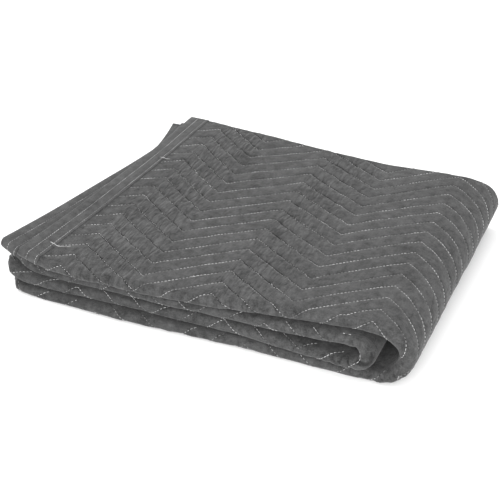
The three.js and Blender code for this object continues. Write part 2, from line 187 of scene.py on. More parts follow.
# Steps from column to column of the mesh, in millimetres; the last is longer than any span.
TIGHT = 2.5
FINE = 4.4
COARSE = 9.0
WHOLE = 100.0
STRIP: tuple[Station, ...] = (
    Station("upper end", (-243, -213), (56.2, 60), (3.4, 4.5), -202, 216, FINE),
    Station("upper binding, inner edge", (-214, -184), (47.2, 59.8), (3.4, 4.5), -203, 216, FINE),
    Station("first crest", (-184, -158), (44.8, 59.2), (3.4, 4.5), -204, 214, FINE),
    Station("first trough", (-90, -88), (47.9, 59.2), (3.8, 4.3), -208, 206, FINE),
    Station("second crest", (6, 6), (53.2, 57), (4.1, 4.1), -211, 195, FINE),
    Station("second trough", (102, 102), (60, 60.4), (4.0, 4.0), -204, 181, FINE),
    Station("third crest", (198, 198), (66.2, 64.4), (4.0, 4.0), -205, 174, FINE),
    Station("spine, top", (224, 228), (63.8, 61.8), (4.4, 4.3), -206, 175, FINE),
    Station("spine, upper", (242, 247), (52.6, 52.4), (5.0, 4.8), -207, 180, FINE),
    Station("spine, side", (248.5, 254), (37.0, 36.6), (5.4, 5.0), -208, 182, FINE),
    Station("spine, lower", (242.5, 247.5), (21.4, 21.2), (5.0, 4.8), -211, 180, FINE),
    Station("spine, bottom", (227.5, 230.5), (9.6, 9.6), (4.2, 4.2), -212, 177, FINE),
    Station("floor, right", (200, 200), (6.6, 6.6), (3.6, 3.6), -211, 174, COARSE),
    Station("floor, middle", (50, 50), (6.6, 7.2), (3.6, 4.0), -209, 186, COARSE),
    Station("floor, left", (-100, -100), (6.15, 7.65), (3.3, 4.3), -214, 203, COARSE),
    Station("floor, end", (-238, -214), (5.55, 7.95), (2.9, 4.5), -207, 212, FINE),
    Station("lifts", (-250, -226), (7.2, 7.95), (2.8, 4.5), -204, 212, FINE),
    Station("lifting", (-260, -232), (12.5, 7.95), (2.8, 4.5), -190, 212, WHOLE),
    Station("left fold, start", (-267, -238), (16.7, 7.95), (2.8, 4.5), -174, 211, WHOLE),
    Station("left fold, low", (-271.3, -244), (18.7, 10.44), (2.8, 4.5), -171, 211, WHOLE),
    Station("left fold, apex", (-273.1, -246.5), (22.9, 16.45), (2.8, 4.5), -173, 210, WHOLE),
    Station("left fold, high", (-271.4, -244), (27.2, 22.46), (2.8, 4.5), -181, 210, WHOLE),
    Station("left fold, end", (-267, -238), (29, 25), (2.8, 4.5), -192, 210, WHOLE),
    Station("third layer, falls", (-258, -228), (26.8, 25.2), (2.8, 4.5), -203, 210, FINE),
    Station("third layer, low", (-238, -210), (20.8, 25.2), (2.8, 4.5), -205, 210, COARSE),
    Station("third layer, left", (-100, -100), (20.0, 25.0), (3.3, 4.3), -204, 202, COARSE),
    Station("third layer, middle", (50, 50), (21.6, 23.2), (3.9, 4.0), -206, 187, COARSE),
    Station("third layer, right", (150, 150), (21.3, 21.6), (3.8, 3.9), -215, 176, FINE),
    Station("inner spine, start", (184, 184), (21.6, 21.6), (3.9, 3.9), -219, 173, TIGHT),
    Station("inner spine, low", (202, 202), (25.6, 25.4), (4.6, 4.4), -219, 171, TIGHT),
    Station("inner spine, apex", (207, 207), (36, 35.8), (5.4, 5.0), -218, 170, TIGHT),
    Station("inner spine, high", (201, 201), (46.4, 45.8), (4.6, 4.4), -217, 171, TIGHT),
    Station("inner spine, end", (182, 182), (49.8, 49.0), (3.9, 3.9), -215, 173, FINE),
    Station("second layer, right", (150, 150), (46.4, 46.0), (3.9, 3.9), -213, 176, COARSE),
    Station("second layer, middle", (50, 50), (38.4, 39.0), (4.0, 4.0), -205, 187, COARSE),
    Station("second layer, left", (-100, -100), (33.6, 41.4), (3.4, 4.3), -200, 202, COARSE),
    Station("second layer, low", (-228, -176), (32.6, 41.4), (3.0, 4.5), -196, 210, FINE),
    Station("lower binding, inner edge", (-257, -195), (40.6, 41.7), (3.4, 4.3), -188, 210, FINE),
    Station("lower end", (-286, -224), (45, 41.5), (3.4, 4.3), -177, 209, FINE),
)
LAST = len(STRIP) - 1
CREST_STATION = 2  # the station on the zigzag's first crest
TOP_LAYER = 12.0  # the station up to which the first ply lies open to the air
SPLAY = 30.0  # how far the lowest ply sticks out past the top one, at the back of the upper end
BOW = 6.0  # how far the middle of each end is drawn in
END_ROWS = 3.0  # over how many stations the splay and the bow fade
OUTER = 1.5  # radius of the four-ply fold, in pitches
INNER = 0.5  # radius of a two-ply fold, in pitches
PLACE = (12.2079, 1.35, 0.0)  # from the strip's own coordinates to the part's, in millimetres
QUILTING = Quilting()
CLOTH = Cloth()


@dataclass(frozen=True)
class Crease:
    """A soft trough or ridge in the quilted face, along a straight line.

    Attributes:
        start: along and across the cloth, in millimetres.
        end: the same, at its other end.
        width: half its width, in millimetres.
        lift: its height, negative for a trough, in millimetres.
    """

    FADE = (0.04, 0.96)  # parts of its length between which the crease fades in and out
    FADE_POWER = 0.6

    start: tuple[float, float]
    end: tuple[float, float]
    width: float
    lift: float

    def at(self, along: Array, across: Array) -> Array:
        """Height of the crease at places on the cloth.

        Args:
            along: distance along the cloth.
            across: distance across it.

        Returns:
            The lift at each place, which fades out over the crease's width and past its ends.
        """
        run = np.array(self.end) - np.array(self.start)
        length = float(np.hypot(*run))
        part = ((along - self.start[0]) * run[0] + (across - self.start[1]) * run[1]) / length**2
        nearest = np.clip(part, 0.0, 1.0)
        gap = np.hypot(
            along - self.start[0] - nearest * run[0], across - self.start[1] - nearest * run[1]
        )
        fade = np.sin(math.pi * np.clip(part, *self.FADE)) ** self.FADE_POWER
        return self.lift * fade * np.exp(-((gap / self.width) ** 2))


CREASES: tuple[Crease, ...] = (
    Crease((214, 92), (292, -4), 3.2, -1.9),
    Crease((216, 82), (262, 20), 9.0, 1.2),
    Crease((-160, -185), (-60, -196), 9.0, -1.3),
    Crease((150, -190), (206, -206), 6.0, -1.6),
    Crease((-205, 40), (-150, 70), 10.0, -0.9),
    Crease((20, 120), (70, 60), 12.0, -0.8),
    Crease((-60, -60), (10, -110), 13.0, 0.9),
    Crease((60, -120), (140, -150), 14.0, -1.0),
    Crease((-120, 130), (-40, 150), 12.0, 0.8),
)


# ---------------------------------------------------------------- shape of the folds


class Ripple:
    """Smooth noise on a plane, the same on every run."""

    SIZE = 64

    def __init__(self, seed: int) -> None:
        """Fills the lattice with the pattern that the seed chooses."""
        self.lattice = np.random.default_rng(seed).uniform(-1.0, 1.0, (self.SIZE, self.SIZE))

    def __call__(self, u: Array, v: Array) -> Array:
        """Value of the noise.

        Args:
            u: first coordinate, in cells.
            v: second coordinate, in cells.

        Returns:
            Values from -1 to 1.
        """
        u, v = np.broadcast_arrays(u, v)
        cell_u, cell_v = np.floor(u).astype(int), np.floor(v).astype(int)
        part_u, part_v = u - cell_u, v - cell_v
        part_u, part_v = part_u**2 * (3 - 2 * part_u), part_v**2 * (3 - 2 * part_v)
        size = self.SIZE

        def corner(i: int, j: int) -> Array:
            """The lattice value at one corner of each cell."""
            return self.lattice[(cell_u + i) % size, (cell_v + j) % size]

        low = corner(0, 0) * (1 - part_u) + corner(1, 0) * part_u
        high = corner(0, 1) * (1 - part_u) + corner(1, 1) * part_u
        return low * (1 - part_v) + high * part_v


@dataclass(frozen=True)
class Wave:
    """A smooth unevenness, in millimetres.

    Attributes:
        height: how far it rises and falls.
        cells: size of its cells, each way.
        noise: its pattern.
        start: where on the pattern it begins, in cells.
    """

    height: float
    cells: tuple[float, float]
    noise: Ripple
    start: float = 0.0

    def at(self, u: Array, v: Array) -> Array:
        """Its height at places, each given by two coordinates."""
        return self.height * self.noise(u / self.cells[0], self.start + v / self.cells[1])


class Course:
    """The path of the strip at one side, as a centripetal spline of (x, pitch, z)."""

    def __init__(self, side: int) -> None:
        """Takes the stations' values.

        Args:
            side: 0 for the front, 1 for the back.
        """
        rows = [(s.x[side], s.pitch[side], s.z[side]) for s in STRIP]
        points = np.array(rows, float)
        first = 2 * points[0] - points[1]
        last = 2 * points[-1] - points[-2]
        self.points = np.vstack([first, points, last])

    def at(self, along: Array) -> Array:
        """Points of the path.

        Args:
            along: places counted in stations.

        Returns:
            An array with a row (x, pitch, z) for each place.
        """
        along = np.clip(along, 0.0, float(LAST))
        row = np.minimum(np.floor(along).astype(int), LAST - 1)
        part = (along - row)[:, None]
        p0, p1, p2, p3 = (self.points[row + i] for i in range(4))

        def knot(a: Array, b: Array) -> Array:
            """Centripetal length of a span."""
            return np.sqrt(np.linalg.norm(b - a, axis=1))[:, None]

        d0, d1, d2 = knot(p0, p1), knot(p1, p2), knot(p2, p3)
        t1 = ((p1 - p0) / d0 - (p2 - p0) / (d0 + d1) + (p2 - p1) / d1) * d1
        t2 = ((p2 - p1) / d1 - (p3 - p1) / (d1 + d2) + (p3 - p2) / d2) * d1
        c2 = -3 * p1 + 3 * p2 - 2 * t1 - t2
        c3 = 2 * p1 - 2 * p2 + t1 + t2
        return p1 + t1 * part + c2 * part**2 + c3 * part**3


@dataclass
class Columns:
    """Places along the strip, with its course at the front (0) and the back (1) of each.

    Attributes:
        along: the places, counted in stations.
        x0: middle of the strip along the blanket, at the front.
        x1: the same at the back.
        z0: its height, at the front.
        z1: the same at the back.
        pitch0: from ply to ply, at the front.
        pitch1: the same at the back.
        dx0: how the course runs along x, at the front.
        dx1: the same at the back.
        dz0: how it runs along z, at the front.
        dz1: the same at the back.
        front: how far forward the strip reaches.
        back: how far back it reaches.
    """

    along: Array
    x0: Array
    x1: Array
    z0: Array
    z1: Array
    pitch0: Array
    pitch1: Array
    dx0: Array
    dx1: Array
    dz0: Array
    dz1: Array
    front: Array
    back: Array

    def mixed(self, other: "Columns", part: Array) -> "Columns":
        """Columns between these and others.

        Args:
            other: the columns at part 1.
            part: how far toward them.

        Returns:
            The blended columns.
        """
        values = {
            f.name: getattr(self, f.name) * (1 - part) + getattr(other, f.name) * part
            for f in fields(self)
        }
        return Columns(**values)

    def picked(self, index: Any) -> "Columns":
        """The columns that an index picks."""
        return Columns(**{f.name: getattr(self, f.name)[index] for f in fields(self)})

    @property
    def start(self) -> Array:
        """Where the flat stretch of a ply begins, across the cloth."""
        return self.front + OUTER * self.pitch0

    @property
    def end(self) -> Array:
        """Where the flat stretch of a ply ends, across the cloth."""
        return self.back - INNER * self.pitch1


@dataclass
class Rows:
    """Places across the folded plies.

    Attributes:
        depth: 0 at the front of a ply's flat stretch, 1 at its back.
        reach: how far outside it, in pitches.
        level: above the strip's middle, in pitches.
        turn: direction in which the cloth runs.
        cut: distance taken off the depth, for the free edges.
        across: distance across the cloth, where the top ply's place is its own y.
        edge: distance in from the free edge.
    """

    depth: Array
    reach: Array
    level: Array
    turn: Array
    cut: Array
    across: Array
    edge: Array

    @staticmethod
    def joined(parts: Sequence["Rows"]) -> "Rows":
        """Several stretches of rows as one."""
        names = [f.name for f in fields(Rows)]
        return Rows(*[np.concatenate([getattr(p, n) for p in parts], axis=1) for n in names])


class Ply(Enum):
    """A ply of the strip: its level in pitches and the direction in which it runs."""

    FOURTH = (-OUTER, math.pi)
    FIRST = (OUTER, 0.0)
    SECOND = (INNER, -math.pi)
    THIRD = (-INNER, 0.0)


class Bend(Enum):
    """A fold between two plies."""

    FRONT = "from the fourth ply to the first"
    BACK = "from the first ply to the second"
    NESTED = "from the second ply to the third"


class FoldedStrip:
    """The folds of the blanket: takes a place on the cloth to a point in space."""

    FAR = 1e3  # the edge distance of a row that isn't near a free edge
    SLOPE_STEP = 1e-3  # the part of the strip over which its direction is measured
    MEASURED_AT = 0.25  # the depth on the top ply at which distances are measured
    CROWDED = 1.2  # how near a column may lie to a corner of the zigzag
    SAME = 1e-9  # how near a place is to a station to be the station's own
    STACK = 60.0  # the height at which the waves are full
    MOST_WAVE = 1.2  # how much stronger they may be above it
    SWAY_FROM, SWAY_OVER = -150.0, 60.0  # how far forward the sway starts, and over how much
    OFF_FLOOR = 12.0  # the height at which it is full

    def __init__(self) -> None:
        """Prepares the two courses, the columns and the distance along the cloth."""
        self.courses = (Course(0), Course(1))
        self.wave = Wave(1.2, (118.0, 104.0), Ripple(11))
        self.sways = (Wave(1.0, (52.0, 30.0), Ripple(12)), Wave(0.5, (24.0, 19.0), Ripple(13), 40))
        along = self._places(self._even_places())
        self.columns = self.at(along)
        self.distance = self._distances(self.columns)

    # ---- columns

    def at(self, along: Array) -> Columns:
        """Columns at places along the strip.

        Args:
            along: places counted in stations.

        Returns:
            The columns.
        """
        step = self.SLOPE_STEP * LAST
        values: dict[str, Array] = {"along": along}
        for side, course in enumerate(self.courses):
            middle = course.at(along)
            ahead = course.at(along + step) - course.at(along - step)
            run = np.hypot(ahead[:, 0], ahead[:, 2])
            values[f"x{side}"], values[f"pitch{side}"], values[f"z{side}"] = middle.T
            values[f"dx{side}"], values[f"dz{side}"] = ahead[:, 0] / run, ahead[:, 2] / run
        rows = np.arange(len(STRIP))
        values["front"] = np.interp(along, rows, [s.front for s in STRIP])
        values["back"] = np.interp(along, rows, [s.back for s in STRIP])
        columns = Columns(**values)
        return self._straight(self._straight(columns, 0.0, 1.0), LAST - 1.0, float(LAST))

    def _straight(self, columns: Columns, first: float, last: float) -> Columns:
        """Sets the columns between two stations on straight lines.

        Args:
            columns: the columns, which are changed.
            first: one station.
            last: the other.

        Returns:
            The same columns.
        """
        between = (columns.along > first) & (columns.along < last)
        if not between.any():
            return columns
        ends = self.at(np.array([first, last]))
        part = (columns.along[between] - first) / (last - first)
        low, high = (ends.picked(np.full(len(part), end)) for end in (0, 1))
        straight = low.mixed(high, part)
        for f in fields(columns):
            getattr(columns, f.name)[between] = getattr(straight, f.name)
        return columns

    def _even_places(self) -> Array:
        """Places along the strip with about each station's own step between them.

        Returns:
            The places, counted in stations.
        """
        places: list[float] = []
        for i, station in enumerate(STRIP[:-1]):
            span = self.courses[0].at(np.array([i, i + 0.5, i + 1.0]))[:, [0, 2]]
            length = float(np.linalg.norm(np.diff(span, axis=0), axis=1).sum())
            cuts = max(1, math.ceil(length / station.step))
            places += [i + cut / cuts for cut in range(cuts)]
        return np.array(places + [float(LAST)])

    def _places(self, even: Array) -> Array:
        """Sets a place on each corner of the zigzag and takes out those that crowd it.

        Args:
            even: places counted in stations.

        Returns:
            The places, in order.
        """
        distance = self._distances(self.at(even))
        half = QUILTING.half_period
        first = math.ceil((distance[1] - QUILTING.first_crest) / half)
        last = math.floor((distance[-2] - QUILTING.first_crest) / half)
        corners = QUILTING.first_crest + half * np.arange(first, last + 1)
        extra = np.interp(corners, distance, even)
        keep = np.abs(distance[:, None] - corners[None, :]).min(axis=1) > self.CROWDED
        keep[0] = keep[-1] = keep[CREST_STATION] = True
        stations = np.abs(even - np.round(even)) < self.SAME
        keep |= stations & ((even <= 1.0) | (even >= LAST - 1.0))
        return np.unique(np.round(np.concatenate([even[keep], extra]), 6))

    def _distances(self, columns: Columns) -> Array:
        """How far each column lies along the cloth, on the top ply's face.

        Args:
            columns: the columns.

        Returns:
            The distances, in millimetres.
        """
        rows = self.flat(columns, Ply.FIRST, np.array([self.MEASURED_AT]))
        points = self.point(columns, rows, np.array([[CLOTH.thickness / 2]]), even=False)[:, 0]
        steps = np.linalg.norm(np.diff(points, axis=0), axis=1)
        distance = np.concatenate([[0.0], np.cumsum(steps)])
        base = np.interp(CREST_STATION, columns.along, distance)
        return distance - base + QUILTING.first_crest

    # ---- rows

    def flat(self, columns: Columns, ply: Ply, depth: Array) -> Rows:
        """Rows over a ply's flat stretch.

        Args:
            columns: the columns that they cross.
            ply: the ply.
            depth: their depths, one list for all columns or one for each.

        Returns:
            The rows.
        """
        depth = np.broadcast_to(depth, (len(columns.along), depth.shape[-1])).astype(float)
        level, turn = ply.value
        start, length = columns.start[:, None], (columns.end - columns.start)[:, None]
        front, back = self.arcs(columns)
        if ply is Ply.FIRST:
            across = start + depth * length
        elif ply is Ply.FOURTH:
            across = start - front[:, None] - depth * length
        elif ply is Ply.SECOND:
            across = start + length + back[:, None] + (1 - depth) * length
        else:
            across = start + 2 * length + back[:, None] * 2 + depth * length
        same = np.ones_like(depth)
        return Rows(depth, 0 * same, level * same, turn * same, 0 * same, across, self.FAR * same)

    def margin(self, columns: Columns, ply: Ply, inward: Array) -> Rows:
        """Rows along a ply's free edge.

        Args:
            columns: the columns that they cross.
            ply: the third or the fourth ply.
            inward: how far in from the edge each row lies.

        Returns:
            The rows.
        """
        cut = CLOTH.fourth_back if ply is Ply.FOURTH else CLOTH.third_back
        rows = self.flat(columns, ply, np.ones(len(inward)))
        away = np.broadcast_to(inward, rows.depth.shape)
        rows.cut = cut + away
        rows.edge = away.astype(float)
        rows.across = rows.across + (cut + away) * (1 if ply is Ply.FOURTH else -1)
        return rows

    def fold(self, columns: Columns, bend: Bend, steps: int) -> Rows:
        """Rows round a fold.

        Args:
            columns: the columns that they cross.
            bend: the fold.
            steps: how many parts the half turn has.

        Returns:
            The rows, the first and last of them on the flat stretches.
        """
        angle = np.linspace(-math.pi / 2, math.pi / 2, steps + 1)
        angle = np.broadcast_to(angle, (len(columns.along), len(angle)))
        part = angle / math.pi + 0.5
        front, back = self.arcs(columns)
        same = np.ones_like(angle)
        start, end = columns.start[:, None], columns.end[:, None]
        if bend is Bend.FRONT:
            reach, level = -OUTER * np.cos(angle), OUTER * np.sin(angle)
            depth, turn = 0 * same, math.pi / 2 - angle
            across = start - front[:, None] * (1 - part)
        elif bend is Bend.BACK:
            reach, level = INNER * np.cos(angle), 1 - INNER * np.sin(angle)
            depth, turn = same, -math.pi / 2 - angle
            across = end + back[:, None] * part
        else:
            reach, level = -INNER * np.cos(angle), -INNER * np.sin(angle)
            depth, turn = 0 * same, angle - math.pi / 2
            across = end + back[:, None] + (end - start) + back[:, None] * part
        return Rows(depth, reach, level, turn, 0 * same, across, self.FAR * same)

    @staticmethod
    def arcs(columns: Columns) -> tuple[Array, Array]:
        """Length of the quilted face round the front fold and round the back fold."""
        half = CLOTH.thickness / 2
        return math.pi * (OUTER * columns.pitch0 + half), math.pi * (INNER * columns.pitch1 + half)

    def on_face(self, columns: Columns, across: Array) -> Rows:
        """Rows at given distances across the quilted face, from the fourth ply to the second.

        Args:
            columns: one column for each distance.
            across: distances across the cloth, one for each column.

        Returns:
            Rows with one place in each column.
        """
        front, back = self.arcs(columns)
        start, end = columns.start, columns.end
        length = end - start
        forward = np.clip((start - across) / front, 0.0, 1.0)
        behind = np.clip((across - end) / back, 0.0, 1.0)
        under = np.clip(start - front - across, 0.0, None)
        angle_front = math.pi / 2 - forward * math.pi
        angle_back = -math.pi / 2 + behind * math.pi
        depth = np.clip((across - start) / length, 0.0, 1.0) + under / length
        reach = np.where(behind > 0, INNER * np.cos(angle_back), -OUTER * np.cos(angle_front))
        level = np.where(behind > 0, 1 - INNER * np.sin(angle_back), OUTER * np.sin(angle_front))
        turn = np.where(behind > 0, -math.pi / 2 - angle_back, math.pi / 2 - angle_front)
        same = np.zeros_like(across)
        cells = [depth, reach, level, turn, same, across, same + self.FAR]
        return Rows(*[cell[:, None] for cell in cells])

    # ---- points

    def point(self, columns: Columns, rows: Rows, off: Array, even: bool = True) -> Array:
        """Points of the blanket.

        Args:
            columns: columns, whose arrays have one entry for each row of the result.
            rows: rows, with one line for each column.
            off: height above the middle of the cloth, toward the quilted face.
            even: whether the blanket's slow unevenness is added.

        Returns:
            An array of points, columns by rows by 3, in the part's frame, in millimetres.
        """
        wide = {
            f.name: (v[:, None] if (v := getattr(columns, f.name)).ndim == 1 else v)
            for f in fields(columns)
        }
        start = wide["front"] + OUTER * wide["pitch0"]
        end = wide["back"] - INNER * wide["pitch1"]
        depth = rows.depth - rows.cut / (end - start)

        def side(name: str) -> Array:
            """A value blended from the front to the back."""
            return wide[name + "0"] * (1 - depth) + wide[name + "1"] * depth

        pitch, dx, dz = side("pitch"), side("dx"), side("dz")
        run = np.hypot(dx, dz)
        rise = rows.level * pitch + off * np.cos(rows.turn)
        below = (OUTER - rows.level) / (2 * OUTER)
        deep = np.clip(depth, 0, 1)
        fade = np.clip(1 - wide["along"] / END_ROWS, 0, 1)
        fade_low = np.clip(1 - (LAST - wide["along"]) / END_ROWS, 0, 1)
        splay = SPLAY * fade * deep**4 * below**2
        bow = BOW * (fade + fade_low) * np.sin(math.pi * deep)
        x = side("x") - rise * dz / run - splay + bow
        y = start + depth * (end - start) + rows.reach * pitch - off * np.sin(rows.turn)
        z = np.maximum(side("z") + rise * dx / run, 0.0)
        points = np.stack(np.broadcast_arrays(x, y, z), axis=-1)
        if even:
            points = self._uneven(points)
        return points + np.array(PLACE)

    def _uneven(self, points: Array) -> Array:
        """Adds the slow waves that a soft stack has, none of them on the floor.

        Args:
            points: the points.

        Returns:
            The moved points.
        """
        x, y, z = points[..., 0], points[..., 1], points[..., 2]
        lift = np.clip(z / self.STACK, 0.0, self.MOST_WAVE)
        sway = sum(wave.at(x, z) for wave in self.sways)
        forward = np.clip((self.SWAY_FROM - y) / self.SWAY_OVER, 0.0, 1.0)
        near_front = forward * np.clip(z / self.OFF_FLOOR, 0.0, 1.0)
        return np.stack([x, y + sway * near_front, z + lift * self.wave.at(x, y)], axis=-1)


FOLDS = FoldedStrip()


# ---------------------------------------------------------------- materials


class Maths:
    """A socket of a node tree, with arithmetic written as Python operators."""

    PILLOW_SLOPE = 5.0  # how fast a noise rises from its thin lines to the pillows

    def __init__(self, tree: "Nodes", socket: Any) -> None:
        """Wraps an output socket of a tree."""
        self.tree = tree
        self.socket = socket

    def _with(self, operation: str, *values: Any) -> "Maths":
        """Adds a Math node on these values."""
        node = self.tree.node("ShaderNodeMath", {"operation": operation}, dict(enumerate(values)))
        return Maths(self.tree, node.outputs[0])

    def __add__(self, other: Any) -> "Maths":
        """self + other."""
        return self._with("ADD", self, other)

    __radd__ = __add__

    def __mul__(self, other: Any) -> "Maths":
        """self * other."""
        return self._with("MULTIPLY", self, other)

    __rmul__ = __mul__

    def __sub__(self, other: Any) -> "Maths":
        """self - other."""
        return self._with("SUBTRACT", self, other)

    def __rsub__(self, other: Any) -> "Maths":
        """other - self."""
        return self._with("SUBTRACT", other, self)

    def __truediv__(self, other: Any) -> "Maths":
        """self / other."""
        return self._with("DIVIDE", self, other)

    def clamped(self) -> "Maths":
        """The value held between 0 and 1."""
        return self._with("MINIMUM", self._with("MAXIMUM", self, 0.0), 1.0)

    def to_nearest_whole(self) -> "Maths":
        """Distance to the nearest whole number."""
        return self._with("PINGPONG", self, 0.5)

    def creased(self) -> "Maths":
        """0 along thin wandering lines of a noise, and up to 1 on the pillows between them."""
        return ((self - 0.5).size() * self.PILLOW_SLOPE).clamped()

    def size(self) -> "Maths":
        """The value without its sign."""
        return self._with("ABSOLUTE", self)

    def eased(self, low: float, high: float) -> "Maths":
        """Eases the value from 0 to 1.

        Args:
            low: the value up to which it is 0.
            high: the value from which it is 1.

        Returns:
            The eased value, smooth between the two.
        """
        inputs = {"Value": self.socket, "From Min": low, "From Max": high}
        node = self.tree.node("ShaderNodeMapRange", {"interpolation_type": "SMOOTHSTEP"}, inputs)
        return Maths(self.tree, node.outputs[0])


class Nodes:
    """A node tree.

    Attributes:
        tree: the tree.
    """

    def __init__(self, tree: bpy.types.NodeTree) -> None:
        """Takes the tree."""
        self.tree = tree

    def node(self, kind: str, settings: dict[str, Any], inputs: dict[Any, Any]) -> Any:
        """Adds a node.

        Args:
            kind: the node's type.
            settings: its properties, set first.
            inputs: values or links of its input sockets, by name or number.

        Returns:
            The node.
        """
        made = self.tree.nodes.new(kind)
        for key, value in settings.items():
            setattr(made, key, value)
        for key, value in inputs.items():
            if isinstance(value, Maths):
                value = value.socket
            if isinstance(value, bpy.types.NodeSocket):
                self.tree.links.new(value, made.inputs[key])
            else:
                made.inputs[key].default_value = value
        return made


@dataclass(frozen=True)
class Grain:
    """A noise over an object.

    Attributes:
        scale: cells to the metre.
        detail: octaves.
        roughness: weight of the small octaves.
        tone: how much it changes a grey.
    """

    scale: float
    detail: float
    roughness: float
    tone: float = 0.0


class ShaderTree(Nodes):
    """A material and the nodes in it."""

    def __init__(self, name: str) -> None:
        """Makes an empty material.

        Args:
            name: the material's name.
        """
        self.material = bpy.data.materials.new(name)
        self.material.use_nodes = True
        super().__init__(self.material.node_tree)
        self.tree.nodes.clear()

    def attribute(self, name: str) -> Maths:
        """A number kept on the mesh."""
        node = self.node("ShaderNodeAttribute", {"attribute_name": name}, {})
        return Maths(self, node.outputs["Fac"])

    def noise(self, grain: Grain) -> Maths:
        """Noise over the object.

        Args:
            grain: its sizes.

        Returns:
            The noise, from 0 to 1.
        """
        inputs = {
            "Vector": self.node("ShaderNodeTexCoord", {}, {}).outputs["Object"],
            "Scale": grain.scale,
            "Detail": grain.detail,
            "Roughness": grain.roughness,
        }
        return Maths(self, self.node("ShaderNodeTexNoise", {}, inputs).outputs["Fac"])

    def pattern(self, u: Maths, v: Maths, detail: float = 1.0) -> Maths:
        """Noise over two numbers of the mesh.

        Args:
            u: the first number, in cells.
            v: the second one.
            detail: octaves.

        Returns:
            The noise, from 0 to 1.
        """
        place = self.node("ShaderNodeCombineXYZ", {}, {"X": u, "Y": v}).outputs[0]
        inputs = {"Vector": place, "Scale": 1.0, "Detail": detail}
        return Maths(self, self.node("ShaderNodeTexNoise", {}, inputs).outputs["Fac"])

    def mixed(self, factor: Maths, low: tuple[float, ...], high: tuple[float, ...]) -> Any:
        """A colour between two colours."""
        node = self.node("ShaderNodeMix", {"data_type": "RGBA"}, {0: factor, 6: low, 7: high})
        return node.outputs[2]

    def finish(self, surface: Any) -> bpy.types.Material:
        """Links the surface to the output and returns the material."""
        self.node("ShaderNodeOutputMaterial", {}, {"Surface": surface})
        return self.material


def grey(value: float, tint: float = 0.0) -> tuple[float, float, float, float]:
    """A grey with a slight cool tint, as a linear colour."""
    return (value * (1 - tint), value, value * (1 + tint), 1.0)


